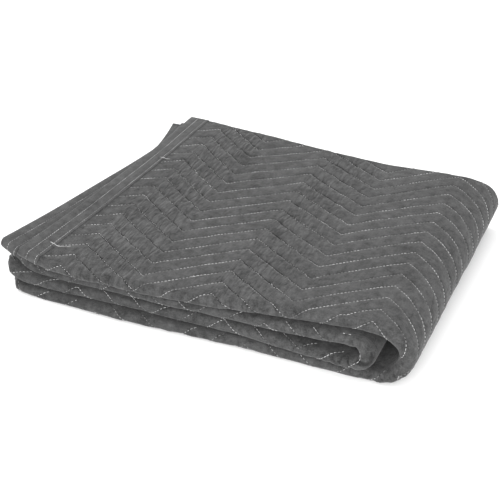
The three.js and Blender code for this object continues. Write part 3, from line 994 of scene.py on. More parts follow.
@dataclass(frozen=True)
class FeltFinish:
    """Needled felt of mixed dark fibres.

    Attributes:
        name: the material's name.
        dark: grey of the darkest patches.
        light: grey of the lightest ones.
        sheen: strength of the soft light that the fuzz catches at a slant.
        fuzz: depth of the fibres, in millimetres.
        lumps: depth of the small lumps, in millimetres.
        groove: how strongly painted shade darkens the groove along a line of quilting.
        quilted: whether it is the cloth's, with its lines of quilting.
    """

    CLOUDS = Grain(26.0, 3.0, 0.6, 0.8)
    PATCHES = Grain(120.0, 3.0, 0.65, 1.5)
    FLECKS = Grain(700.0, 3.0, 0.7, 1.6)
    FIBRES = Grain(900.0, 4.0, 0.7)
    LUMPS = Grain(300.0, 3.0, 0.6)
    LUMP_PART = 0.6  # how deep the lumps are beside the patches
    DARK_TINT, LIGHT_TINT = 0.004, 0.002
    SLACK_GROOVE, SLACK_PLEATS = 0.3, 0.2  # the part of them that stays where the thread is slack
    GROOVE_SIDE = (0.2, 1.6)  # where a groove's side starts and ends, off its line, in millimetres
    GROOVE_DEPTH, GATHER_DEPTH, PLEAT_DEPTH = 0.9, 1.1, 1.3  # in millimetres
    # How strongly painted shade darkens the grooves, and painted light and shade follow the gathers
    # and pleats.
    GROOVE_TONE, GATHER_TONE, PLEAT_TONE = 0.25, 0.3, 0.5
    GATHER = (11.0, 0.9)  # a cell's length along a line, in millimetres, and cells to a line
    PLEAT = (5.0, 1.3)
    PLEAT_START = 40.0
    CREASE_EDGE, CREASE_TONE = (0.25, 0.9), 0.6  # where a crease's painted shade starts and is full

    name: str
    dark: float
    light: float
    sheen: float = 0.14
    fuzz: float = 0.35
    lumps: float = 0.5
    groove: float = 0.62
    quilted: bool = True

    def material(self) -> bpy.types.Material:
        """Builds the material.

        Returns:
            The material.
        """
        tree = ShaderTree(self.name)
        patches = tree.noise(self.PATCHES)
        mottle = (tree.noise(self.CLOUDS) - 0.5) * self.CLOUDS.tone
        mottle = mottle + (patches - 0.5) * self.PATCHES.tone
        mottle = mottle + (tree.noise(self.FLECKS) - 0.5) * self.FLECKS.tone + 0.5
        height = tree.noise(self.FIBRES) * self.fuzz + patches * self.lumps
        height = height + tree.noise(self.LUMPS) * (self.lumps * self.LUMP_PART)
        if self.quilted:
            mottle, height = self._quilted(tree, mottle, height)
        colour = tree.mixed(mottle.clamped(), *self._greys())
        bump = tree.node(
            "ShaderNodeBump", {}, {"Strength": 1.0, "Distance": MM, "Height": height}
        ).outputs[0]
        shader = tree.node(
            "ShaderNodeBsdfPrincipled",
            {},
            {
                "Base Color": colour,
                "Roughness": 0.96,
                "Specular IOR Level": 0.18,
                "Sheen Weight": self.sheen,
                "Sheen Roughness": 0.45,
                "Sheen Tint": (1.0, 1.0, 1.0, 1.0),
                "Normal": bump,
            },
        )
        return tree.finish(shader.outputs[0])

    def _greys(self) -> tuple[tuple[float, ...], tuple[float, ...]]:
        """The colours of the darkest and of the lightest patches."""
        return grey(self.dark, self.DARK_TINT), grey(self.light, self.LIGHT_TINT)

    def _quilted(self, tree: ShaderTree, mottle: Maths, height: Maths) -> tuple[Maths, Maths]:
        """Adds the lines of quilting, the pleats beside them and the creases of the front fold, as
        bumps and painted shade.

        Args:
            tree: the material.
            mottle: the felt's grey, from 0 to 1.
            height: of its surface, in millimetres.

        Returns:
            The grey and the height.
        """
        shown, pull = tree.attribute("quilt_shown"), tree.attribute("quilt_pull")
        line, run = tree.attribute("quilt_line"), tree.attribute("quilt_run")
        away = line.to_nearest_whole() * QUILTING.pitch
        held = pull * (1 - self.SLACK_GROOVE) + self.SLACK_GROOVE
        groove = (1 - away.eased(*self.GROOVE_SIDE)) * shown * held
        cell, rate = self.GATHER
        gathers = tree.pattern(run / cell, line * rate).creased()
        cell, rate = self.PLEAT
        pleats = tree.pattern(run / cell, line * rate + self.PLEAT_START)
        tight = (pull * (1 - self.SLACK_PLEATS) + self.SLACK_PLEATS) * shown
        # painted light and shade: the grey follows the height of the gathers and pleats, darker in
        # their troughs
        mottle = mottle + (gathers - 0.5) * tight * self.GATHER_TONE
        mottle = mottle + (pleats - 0.5) * tight * self.PLEAT_TONE
        # painted shade: the groove along each line of quilting is darkened in the colour
        mottle = mottle * (1 - groove * self.groove) - groove * self.GROOVE_TONE
        # painted shade: the front fold's creases are darkened in the colour
        creased = tree.attribute("fold_crease").eased(*self.CREASE_EDGE)
        mottle = mottle - creased * self.CREASE_TONE
        pleated = (gathers * self.GATHER_DEPTH + pleats * self.PLEAT_DEPTH) * tight
        return mottle, height + pleated - groove * self.GROOVE_DEPTH


@dataclass(frozen=True)
class ThreadFinish:
    """Spun thread.

    Attributes:
        name: the material's name.
        dark: grey of its darker stretches.
        light: grey of its lighter ones.
    """

    WEAR = Grain(55.0, 3.0, 0.6)
    SHARP = (0.38, 0.66)  # where the wear's noise turns from dark to light
    TWIST = Grain(2600.0, 2.0, 0.5)
    TWIST_DEPTH = 0.2  # in millimetres

    name: str
    dark: float
    light: float

    def material(self) -> bpy.types.Material:
        """Builds the material.

        Returns:
            The material.
        """
        tree = ShaderTree(self.name)
        worn = tree.noise(self.WEAR).eased(*self.SHARP)
        colour = tree.mixed(worn, grey(self.dark), grey(self.light))
        depth = self.TWIST_DEPTH * MM
        bump = tree.node(
            "ShaderNodeBump",
            {},
            {"Strength": 0.5, "Distance": depth, "Height": tree.noise(self.TWIST)},
        ).outputs[0]
        inputs = {"Base Color": colour, "Roughness": 0.7, "Normal": bump, "Sheen Weight": 0.2}
        return tree.finish(tree.node("ShaderNodeBsdfPrincipled", {}, inputs).outputs[0])


@dataclass(frozen=True)
class FloorFinish:
    """A plain pale floor.

    Attributes:
        name: the material's name.
        shade: its grey.
    """

    name: str = "pale_floor"
    shade: float = 0.88

    def material(self) -> bpy.types.Material:
        """Builds the material.

        Returns:
            The material.
        """
        tree = ShaderTree(self.name)
        inputs = {"Base Color": grey(self.shade), "Roughness": 0.9, "Specular IOR Level": 0.1}
        return tree.finish(tree.node("ShaderNodeBsdfPrincipled", {}, inputs).outputs[0])


QUILTED_FELT = FeltFinish("quilted_felt", dark=0.014, light=0.073)
BINDING_FELT = FeltFinish("binding_felt", dark=0.025, light=0.079, groove=0.0, quilted=False)
QUILTING_THREAD = ThreadFinish("quilting_thread", dark=0.1, light=0.42)
BINDING_THREAD = ThreadFinish("binding_thread", dark=0.14, light=0.38)


# ---------------------------------------------------------------- meshes


def make_mesh(
    name: str, points: Array, faces: Sequence[Sequence[int]], material: bpy.types.Material
) -> bpy.types.Object:
    """Makes an object in the part's frame.

    Args:
        name: the object's name.
        points: its points, in millimetres.
        faces: its faces.
        material: its finish.

    Returns:
        The object, smooth shaded.
    """
    mesh = bpy.data.meshes.new(name)
    mesh.from_pydata((points * MM).tolist(), [], faces)
    mesh.polygons.foreach_set("use_smooth", [True] * len(mesh.polygons))
    mesh.materials.append(material)
    mesh.update()
    made = bpy.data.objects.new(name, mesh)
    bpy.context.scene.collection.objects.link(made)
    return made


def grid_faces(first: int, columns: int, rows: int, flip: bool) -> list[tuple[int, ...]]:
    """Quads of a grid whose points are numbered column by column.

    Args:
        first: number of its first point.
        columns: how many columns it has.
        rows: how many rows it has.
        flip: whether its faces are turned round.

    Returns:
        The quads.
    """
    i, j = np.meshgrid(np.arange(columns - 1), np.arange(rows - 1), indexing="ij")
    a = (first + i * rows + j).ravel()
    quads = np.stack([a, a + rows, a + rows + 1, a + 1], axis=1)
    return [tuple(q) for q in (quads[:, ::-1] if flip else quads).tolist()]


def zipped(
    left: Array, right: Array, at_left: Array, at_right: Array, flip: bool
) -> list[tuple[int, ...]]:
    """Triangles between two rows of points that are numbered along the same edge.

    Args:
        left: the points of one row.
        right: the points of the other.
        at_left: where each of them lies along the edge.
        at_right: the same for the other row.
        flip: whether the triangles are turned round.

    Returns:
        The triangles.
    """
    made: list[tuple[int, ...]] = []
    i = j = 0
    while i + 1 < len(left) or j + 1 < len(right):
        take_left = j + 1 >= len(right) or (i + 1 < len(left) and at_left[i + 1] <= at_right[j + 1])
        third = int(left[i + 1] if take_left else right[j + 1])
        face = (int(left[i]), int(right[j]), third)
        made.append(face[::-1] if flip else face)
        i, j = (i + 1, j) if take_left else (i, j + 1)
    return made


@dataclass(frozen=True)
class Pulled:
    """A height that grows with the pull of the thread, in millimetres.

    Attributes:
        slack: the height where the thread lies slack.
        more: what a full pull adds.
    """

    slack: float
    more: float

    def at(self, pull: Array) -> Array:
        """The height under a pull from 0 to 1."""
        return self.slack + self.more * pull


@dataclass(frozen=True)
class Turn:
    """A stretch of the strip that turns so tightly that its front fold crumples.

    Attributes:
        middle: of the stretch, counted in stations.
        reach: how far it goes to each side, counted in stations.
        power: how suddenly it ends there, an even number.
        strength: how deep it crumples, 1 at most.
    """

    middle: float
    reach: float
    power: int
    strength: float

    def at(self, along: Array) -> Array:
        """How deep the fold crumples at places counted in stations."""
        return self.strength * np.exp(-(((along - self.middle) / self.reach) ** self.power))


@dataclass
class QuiltedCloth:
    """The blanket's cloth: one sheet on its folds, raised between the lines of quilting.

    Attributes:
        width: across the blanket as it was cut, in metres.
        length: along it, in metres.
        beside_line: where the rows of the mesh lie between two lines, in millimetres.
        margins: where they lie beside a free edge, in from it, in millimetres.
        least: least thickness of the cloth, in millimetres.
        pucker: pattern of the small puckers.
        crumple: pattern of the wider ones.
        lump: slow lumps of the filling.
    """

    LINES = (-8, 11)  # numbers of the first line that the rows follow, and of the one past the last
    CLEAR = 0.6  # how near such a row may come to a fold, in millimetres
    SQUEEZED = 0.55  # how much nearer the rows may come that lie past the last line
    PRESSED, BACK_PUFF = 0.06, 0.6  # how much of the relief stays between plies, and on back folds
    LIP, LIP_DEPTH = 0.5, 0.02  # how much stays beside the front fold, and how far it goes
    NEARLY = 0.01  # how near the outermost level a face is to lie on the outside, in pitches
    FLAT_ROWS, TOP_ROWS = 8, 10  # rows over a hidden flat stretch, and under the first ply
    BESIDE_MARGIN = 6.0  # from the last row of a margin to the next row, in millimetres
    FRONT_STEPS, OTHER_STEPS, NESTED_STEPS = 14, 8, 6  # parts of the folds' half turns
    PILLOW, GROOVE, PUCKERS = Pulled(0.65, 0.35), Pulled(0.25, 0.85), Pulled(0.22, 0.5)
    GROOVE_WIDTH = 1.3  # half of it, in millimetres
    PUCKER = (8.0, 0.55, 7)  # a cell's length along a line, cells to a line, start
    WIDE, WIDE_HEIGHT = (17.0, 0.35, 3), 0.4
    SUNK = 0.35  # how far the whole face is set down, in millimetres
    TURNS = (Turn(29.6, 2.3, 4, 1.0), Turn(10.8, 1.1, 4, 0.7), Turn(20.0, 1.6, 2, 0.5))
    # The front fold's creases, in millimetres: length of a radian of their wave, their depth, how
    # far they stray along the cloth, length of a radian of that, and how far each level is shifted.
    CREASE_LENGTH, CREASE_DEPTH = 2.3, 4.4
    STRAY, STRAY_LENGTH, SLANT = 4.0, 11.0, 2.2
    SOFT, SOFT_CELL = Pulled(0.6, 0.5), (9.0, 1.3)  # the fold's softer crumples

    width: float = 1.727
    length: float = 2.032
    beside_line: tuple[float, ...] = (0.0, 1.4, 4.2, 9.5, 17.0, 22.3, 25.1)
    margins: tuple[float, ...] = (0.0, 12.0, 24.0, 30.0, 34.0, 39.0)
    least: float = 0.7
    pucker: Ripple = field(default_factory=lambda: Ripple(21))
    crumple: Ripple = field(default_factory=lambda: Ripple(22))
    lump: Wave = field(default_factory=lambda: Wave(0.5, (31.0, 23.0), Ripple(23)))

    @staticmethod
    def freed(edge: Array, along_edge: Array) -> Array:
        """Where the binding lets the cloth puff up.

        Args:
            edge: distance in from the nearer free side edge.
            along_edge: distance in from the nearer end.

        Returns:
            0 where the binding presses the cloth, 1 where it has its full thickness.
        """
        inward = np.minimum(edge, along_edge)
        part = np.clip((inward - CLOTH.bound) / CLOTH.release, 0.0, 1.0)
        return part**2 * (3 - 2 * part)

    def relief(self, distance: Array, across: Array) -> Array:
        """How far the quilted face stands off its mean.

        Args:
            distance: distance along the cloth.
            across: distance across it.

        Returns:
            The height, in millimetres.
        """
        line = QUILTING.number(distance, across)
        part = line - np.floor(line)
        away = np.minimum(part, 1 - part) * QUILTING.pitch
        pull = QUILTING.pull(distance)
        run = QUILTING.run(distance)
        pillow = self.PILLOW.at(pull) * QUILTING.puff * np.sin(math.pi * part) ** QUILTING.rise
        groove = self.GROOVE.at(pull) * np.exp(-((away / self.GROOVE_WIDTH) ** 2))
        cell, rate, start = self.PUCKER
        puckers = self.PUCKERS.at(pull) * self.pucker(run / cell, line * rate + start)
        cell, rate, start = self.WIDE
        wide = self.WIDE_HEIGHT * self.crumple(run / cell, line * rate + start)
        creases = sum(crease.at(distance, across) for crease in CREASES)
        height = pillow - groove + puckers + wide
        return height + self.lump.at(distance, across) + creases - self.SUNK

    def fold_creases(self, columns: Columns, rows: Rows, distance: Array) -> Array:
        """The sharp creases of the front fold, where the strip turns tightly.

        Args:
            columns: the columns.
            rows: the rows.
            distance: how far each column lies along the cloth.

        Returns:
            Their depth, from 0 to 1.
        """
        tight = sum(turn.at(columns.along[:, None]) for turn in self.TURNS)
        stray = self.STRAY * np.sin(distance[:, None] / self.STRAY_LENGTH)
        place = distance[:, None] + stray + self.SLANT * rows.level
        return self.front(rows) * tight * (0.5 + 0.5 * np.cos(place / self.CREASE_LENGTH)) ** 3

    def fold_relief(self, columns: Columns, rows: Rows, distance: Array) -> Array:
        """The crumpling of the front fold, strongest where the strip turns tightly.

        Args:
            columns: the columns.
            rows: the rows.
            distance: how far each column lies along the cloth.

        Returns:
            The height that it adds, in millimetres.
        """
        cell, rate = self.SOFT_CELL
        soft = self.SOFT.at(self.crumple(distance[:, None] / cell, rows.level * rate))
        creases = self.CREASE_DEPTH * self.fold_creases(columns, rows, distance)
        return self.front(rows) * soft - creases

    @staticmethod
    def front(rows: Rows) -> Array:
        """1 at the front of the four-ply fold, 0 on the flat stretches."""
        return np.clip(-rows.reach / OUTER, 0.0, 1.0) ** 0.5

    def _first_ply(self, columns: Columns, distance: Array) -> Rows:
        """Rows of the first ply that follow the lines of quilting.

        Args:
            columns: the columns that they cross.
            distance: how far each lies along the cloth.

        Returns:
            The rows.
        """
        lines = np.arange(*self.LINES)[:, None] * QUILTING.pitch
        fixed = (lines + np.array(self.beside_line)[None, :]).ravel()
        across = QUILTING.shift(distance)[:, None] + fixed[None, :]
        low, high = columns.start + self.CLEAR, columns.end - self.CLEAR
        for line, least, most in zip(across, low, high):
            inside = np.flatnonzero((line > least) & (line < most))
            first, last = inside[0], inside[-1]
            before = np.linspace(least - self.SQUEEZED, line[first], first + 1)
            after = np.linspace(line[last], most + self.SQUEEZED, len(line) - last)
            line[:first], line[last + 1 :] = before[:-1], after[1:]
        depth = (across - columns.start[:, None]) / (columns.end - columns.start)[:, None]
        return FOLDS.flat(columns, Ply.FIRST, depth)

    def rows(self, columns: Columns, distance: Array, fine: bool) -> Rows:
        """All rows of one face, from the fourth ply's free edge to the third ply's.

        Args:
            columns: the columns that they cross.
            distance: how far each lies along the cloth.
            fine: whether the first ply's rows follow the lines of quilting.

        Returns:
            The rows.
        """
        inward = np.array(self.margins)
        length = float((columns.end - columns.start).mean())
        reach = 1 - (inward[-1] + CLOTH.third_back + self.BESIDE_MARGIN) / length
        middle = np.linspace(reach, 0.0, self.FLAT_ROWS)
        first = (
            self._first_ply(columns, distance)
            if fine
            else FOLDS.flat(columns, Ply.FIRST, np.linspace(0, 1, self.TOP_ROWS)[1:-1])
        )
        return Rows.joined(
            [
                FOLDS.margin(columns, Ply.FOURTH, inward),
                FOLDS.flat(columns, Ply.FOURTH, middle[:-1]),
                FOLDS.fold(columns, Bend.FRONT, self.FRONT_STEPS if fine else self.OTHER_STEPS),
                first,
                FOLDS.fold(columns, Bend.BACK, self.OTHER_STEPS),
                FOLDS.flat(columns, Ply.SECOND, np.linspace(1, 0, self.FLAT_ROWS)[1:-1]),
                FOLDS.fold(columns, Bend.NESTED, self.NESTED_STEPS),
                FOLDS.flat(columns, Ply.THIRD, middle[::-1][1:]),
                FOLDS.margin(columns, Ply.THIRD, inward[::-1]),
            ]
        )

    def build(self) -> bpy.types.Object:
        """Builds the cloth.

        Returns:
            The object.
        """
        columns, distance = FOLDS.columns, FOLDS.distance
        from_end = np.minimum(distance - distance[0], distance[-1] - distance)[:, None]
        points, across, starts = [], [], [0]
        shown, creased = [], []
        for fine in (True, False):
            rows = self.rows(columns, distance, fine)
            freed = self.freed(rows.edge, from_end)
            half = (CLOTH.pressed + (CLOTH.thickness - CLOTH.pressed) * freed) / 2
            off = -half
            if fine:
                height = self.relief(distance[:, None], rows.across)
                height = height + self.fold_relief(columns, rows, distance)
                off = half + height * freed * self.open_air(columns, rows)
                off = np.maximum(off, self.least - half)
            face = FOLDS.point(columns, rows, off)
            points.append(face.reshape(-1, 3))
            shown.append(freed.reshape(-1))
            # the depth of the front fold's creases, kept for the painted shade in them
            creases = self.fold_creases(columns, rows, distance) * (1.0 if fine else 0.0)
            creased.append(creases.reshape(-1))
            across.append(rows.across)
            starts.append(starts[-1] + face.shape[0] * face.shape[1])
        faces = self._faces(len(columns.along), across, starts)
        cloth = make_mesh("quilted_cloth_sheet", np.vstack(points), faces, QUILTED_FELT.material())
        lines = [QUILTING.number(distance[:, None], a).ravel() for a in across]
        for name, of_place in (("quilt_run", QUILTING.run), ("quilt_pull", QUILTING.pull)):
            values = [np.repeat(of_place(distance), a.shape[1]) for a in across]
            self._keep(cloth, name, np.concatenate(values))
        self._keep(cloth, "quilt_line", np.concatenate(lines))
        self._keep(cloth, "quilt_shown", np.concatenate(shown))
        self._keep(cloth, "fold_crease", np.concatenate(creased))
        return cloth

    def open_air(self, columns: Columns, rows: Rows) -> Array:
        """Where the cloth has room to puff up.

        Args:
            columns: the columns.
            rows: the rows.

        Returns:
            1 on open faces, less where plies press on each other.
        """
        outermost = OUTER - self.NEARLY
        on_top = np.clip(TOP_LAYER - columns.along, 0.0, 1.0)[:, None] * (rows.level > outermost)
        back = self.BACK_PUFF * np.clip(rows.reach / INNER, 0.0, 1.0)
        lip = self.LIP * np.exp(-np.abs(rows.depth) / self.LIP_DEPTH)
        lip = lip * (np.abs(rows.level) > outermost)
        return np.clip(on_top + self.front(rows) + back + lip, self.PRESSED, 1.0)

    @staticmethod
    def _keep(cloth: bpy.types.Object, name: str, values: Array) -> None:
        """Stores a number for each point of the mesh."""
        kept = cloth.data.attributes.new(name, "FLOAT", "POINT")
        kept.data.foreach_set("value", np.ascontiguousarray(values, dtype=np.float32))

    @staticmethod
    def _faces(count: int, across: Sequence[Array], starts: Sequence[int]) -> list[tuple[int, ...]]:
        """Faces of the two grids and of the four edges between them.

        Args:
            count: how many columns the grids have.
            across: how far across the cloth each point lies, for either grid.
            starts: number of either grid's first point.

        Returns:
            The faces.
        """
        upper, lower = across[0].shape[1], across[1].shape[1]
        faces = grid_faces(0, count, upper, False) + grid_faces(starts[1], count, lower, True)
        for i in range(count - 1):
            a, b = i * upper, (i + 1) * upper
            c, d = starts[1] + i * lower, starts[1] + (i + 1) * lower
            faces.append((b, a, c, d))
            faces.append((a + upper - 1, b + upper - 1, d + lower - 1, c + lower - 1))
        for i, flip in ((0, True), (count - 1, False)):
            left = i * upper + np.arange(upper)
            right = starts[1] + i * lower + np.arange(lower)
            faces += zipped(left, right, across[0][i], across[1][i], flip)
        return faces


@dataclass
class Binding:
    """The strip of felt folded over the edges, in four pieces.

    Attributes:
        rows_of_stitches: how far in from the edge the two rows of stitches run, in millimetres.
        dip: how far the stitches pull the tape in, in millimetres.
        wander: how the inner edge of an end's tape wanders.
    """

    DIMPLE = 1.4  # how far from a row of stitches the tape is level again, in millimetres
    SWELL = 0.1  # how much higher it is between the rows
    WORN = 0.15  # how much lower its inner edge is
    CORNER = 0.6  # size of its rounded corners
    ROUND = ((0.6, 0.72), (1.0, 0.3))  # the turn over the edge: parts of thickness and of height
    FRAYED = 2.0  # how near its inner edge the tape of an end wanders
    CUTS = 46  # parts of a ply's flat stretch
    FRONT_STEPS, OTHER_STEPS = 14, 8  # parts of the folds' half turns
    STARTS = {True: 3.0, False: 9.0}  # where the wandering starts, at the upper and the lower end

    rows_of_stitches: tuple[float, ...] = (12.0, 24.5)
    dip: float = 0.28
    wander: Wave = field(default_factory=lambda: Wave(0.5, (15.0, 1.0), Ripple(31)))

    def section(self) -> tuple[Array, Array]:
        """The tape's section, as distances in from the edge and heights.

        Returns:
            The corners of its outer face and those of its inner one, in order round the section.
        """
        width, gap, tape = CLOTH.tape_width, CLOTH.tape_gap, CLOTH.tape
        inside, outside = CLOTH.inside, CLOTH.outside
        first, second = self.rows_of_stitches
        face = [
            (width, outside - self.WORN),
            (width - self.CORNER, outside),
            (second + self.DIMPLE, outside),
            (second, outside - self.dip),
            (second - self.DIMPLE, outside),
            ((first + second) / 2, outside + self.SWELL),
            (first + self.DIMPLE, outside),
            (first, outside - self.dip),
            (first - self.DIMPLE, outside),
            (first / 2, outside + self.SWELL),
            (self.CORNER, outside),
            *[(-gap - out * tape, outside * level) for out, level in self.ROUND],
        ]
        outer = face + [(i, -h) for i, h in reversed(face)]
        steps = (width, second, first, -gap)
        inner = [(i, -inside) for i in steps] + [(i, inside) for i in reversed(steps)]
        return np.array(outer), np.array(inner)

    def _sweep(self, name: str, rings: Array, flip: bool) -> bpy.types.Object:
        """Joins the sections into a closed tape.

        Args:
            name: the object's name.
            rings: the sections' points, sections by corners by 3, in millimetres.
            flip: whether the faces are turned round.

        Returns:
            The object.
        """
        count, corners = rings.shape[:2]
        faces: list[tuple[int, ...]] = []
        for i in range(count - 1):
            for k in range(corners):
                n = (k + 1) % corners
                a, b = i * corners, (i + 1) * corners
                quad = (a + k, b + k, b + n, a + n)
                faces.append(quad[::-1] if flip else quad)
        outer, inner = self.section()
        chains = np.arange(len(outer)), np.arange(corners - 1, len(outer) - 1, -1)
        places = [self._round(outer), self._round(inner[::-1])]
        for first, turned in ((0, flip), ((count - 1) * corners, not flip)):
            faces += zipped(first + chains[0], first + chains[1], *places, turned)
        return make_mesh(name, rings.reshape(-1, 3), faces, BINDING_FELT.material())

    @staticmethod
    def _round(chain: Array) -> Array:
        """How far round the section each corner of a chain lies."""
        return np.where(chain[:, 1] > 0, -chain[:, 0], CLOTH.tape_width + chain[:, 0])

    def end_rows(self, columns: Columns) -> Rows:
        """Rows across all four plies, closer on the folds.

        Args:
            columns: the columns that they cross.

        Returns:
            The rows.
        """
        flat = np.linspace(0, 1, self.CUTS)[1:-1]
        cut = 1 - CLOTH.third_back / float((columns.end - columns.start)[0])
        return Rows.joined(
            [
                FOLDS.margin(columns, Ply.FOURTH, np.array([0.0])),
                FOLDS.flat(columns, Ply.FOURTH, (flat * cut)[::-1]),
                FOLDS.fold(columns, Bend.FRONT, self.FRONT_STEPS),
                FOLDS.flat(columns, Ply.FIRST, flat),
                FOLDS.fold(columns, Bend.BACK, self.OTHER_STEPS),
                FOLDS.flat(columns, Ply.SECOND, flat[::-1]),
                FOLDS.fold(columns, Bend.NESTED, self.OTHER_STEPS),
                FOLDS.flat(columns, Ply.THIRD, flat * cut),
                FOLDS.margin(columns, Ply.THIRD, np.array([0.0])),
            ]
        )

    def end_points(self, upper: bool, section: Array) -> tuple[Array, Rows]:
        """Points of the tape over one end.

        Args:
            upper: whether it is the upper end.
            section: distances in and heights, one row for each corner.

        Returns:
            Points, rows by corners by 3, and the rows that they lie on.
        """
        place, other = (0.0, 1.0) if upper else (float(LAST), LAST - 1.0)
        edge, inward = FOLDS.at(np.array([place])), FOLDS.at(np.array([other]))
        rows = self.end_rows(edge)
        widths = [
            float(np.hypot(edge.x0 - inward.x0, edge.z0 - inward.z0)[0]),
            float(np.hypot(edge.x1 - inward.x1, edge.z1 - inward.z1)[0]),
        ]
        width = (widths[0] * (1 - rows.depth) + widths[1] * rows.depth)[0]
        ragged = self.wander.at(rows.across[0], np.array(self.STARTS[upper]))
        deep = section[None, :, 0]
        spread = deep + ragged[:, None] * (deep > CLOTH.tape_width - self.FRAYED)
        blended = edge.mixed(inward, spread / width[:, None])
        names = [f.name for f in fields(Rows)]
        wide = Rows(*[np.repeat(getattr(rows, n).T, len(section), axis=1) for n in names])
        return FOLDS.point(blended, wide, section[None, :, 1]), rows

    def side_points(self, ply: Ply, section: Array) -> Array:
        """Points of the tape along one ply's free side edge.

        Args:
            ply: the third or the fourth ply.
            section: distances in and heights, one row for each corner.

        Returns:
            Points, columns by corners by 3.
        """
        inside = (FOLDS.columns.along >= 1.0) & (FOLDS.columns.along <= LAST - 1.0)
        columns = FOLDS.columns.picked(inside)
        rows = FOLDS.margin(columns, ply, section[:, 0])
        return FOLDS.point(columns, rows, np.broadcast_to(section[:, 1], rows.depth.shape))

    def build(self) -> dict[str, bpy.types.Object]:
        """Builds the four tapes.

        Returns:
            Each tape by the name of the node that it replaces.
        """
        section = np.vstack(self.section())
        upper, lower = (self.end_points(end, section)[0] for end in (True, False))
        third, fourth = (self.side_points(ply, section) for ply in (Ply.THIRD, Ply.FOURTH))
        return {
            "end_binding_upper": self._sweep("upper_end_tape", upper, False),
            "end_binding_lower": self._sweep("lower_end_tape", lower, True),
            "side_binding_third_ply": self._sweep("third_ply_tape", third, False),
            "side_binding_fourth_ply": self._sweep("fourth_ply_tape", fourth, True),
        }


# ---------------------------------------------------------------- thread


@dataclass(frozen=True)
class Seam:
    """A line that stitches follow.

    Attributes:
        points: its points, in millimetres.
        outward: the direction off the cloth at each point.
    """

    points: Array
    outward: Array


@dataclass(frozen=True)
class Stitching:
    """A kind of stitch, in millimetres.

    Attributes:
        spacing: from one stitch to the next.
        length: how much of that the thread shows.
        thickness: of the thread.
        seed: chooses which stitches lie loose.
    """

    spacing: float
    length: float
    thickness: float
    seed: int


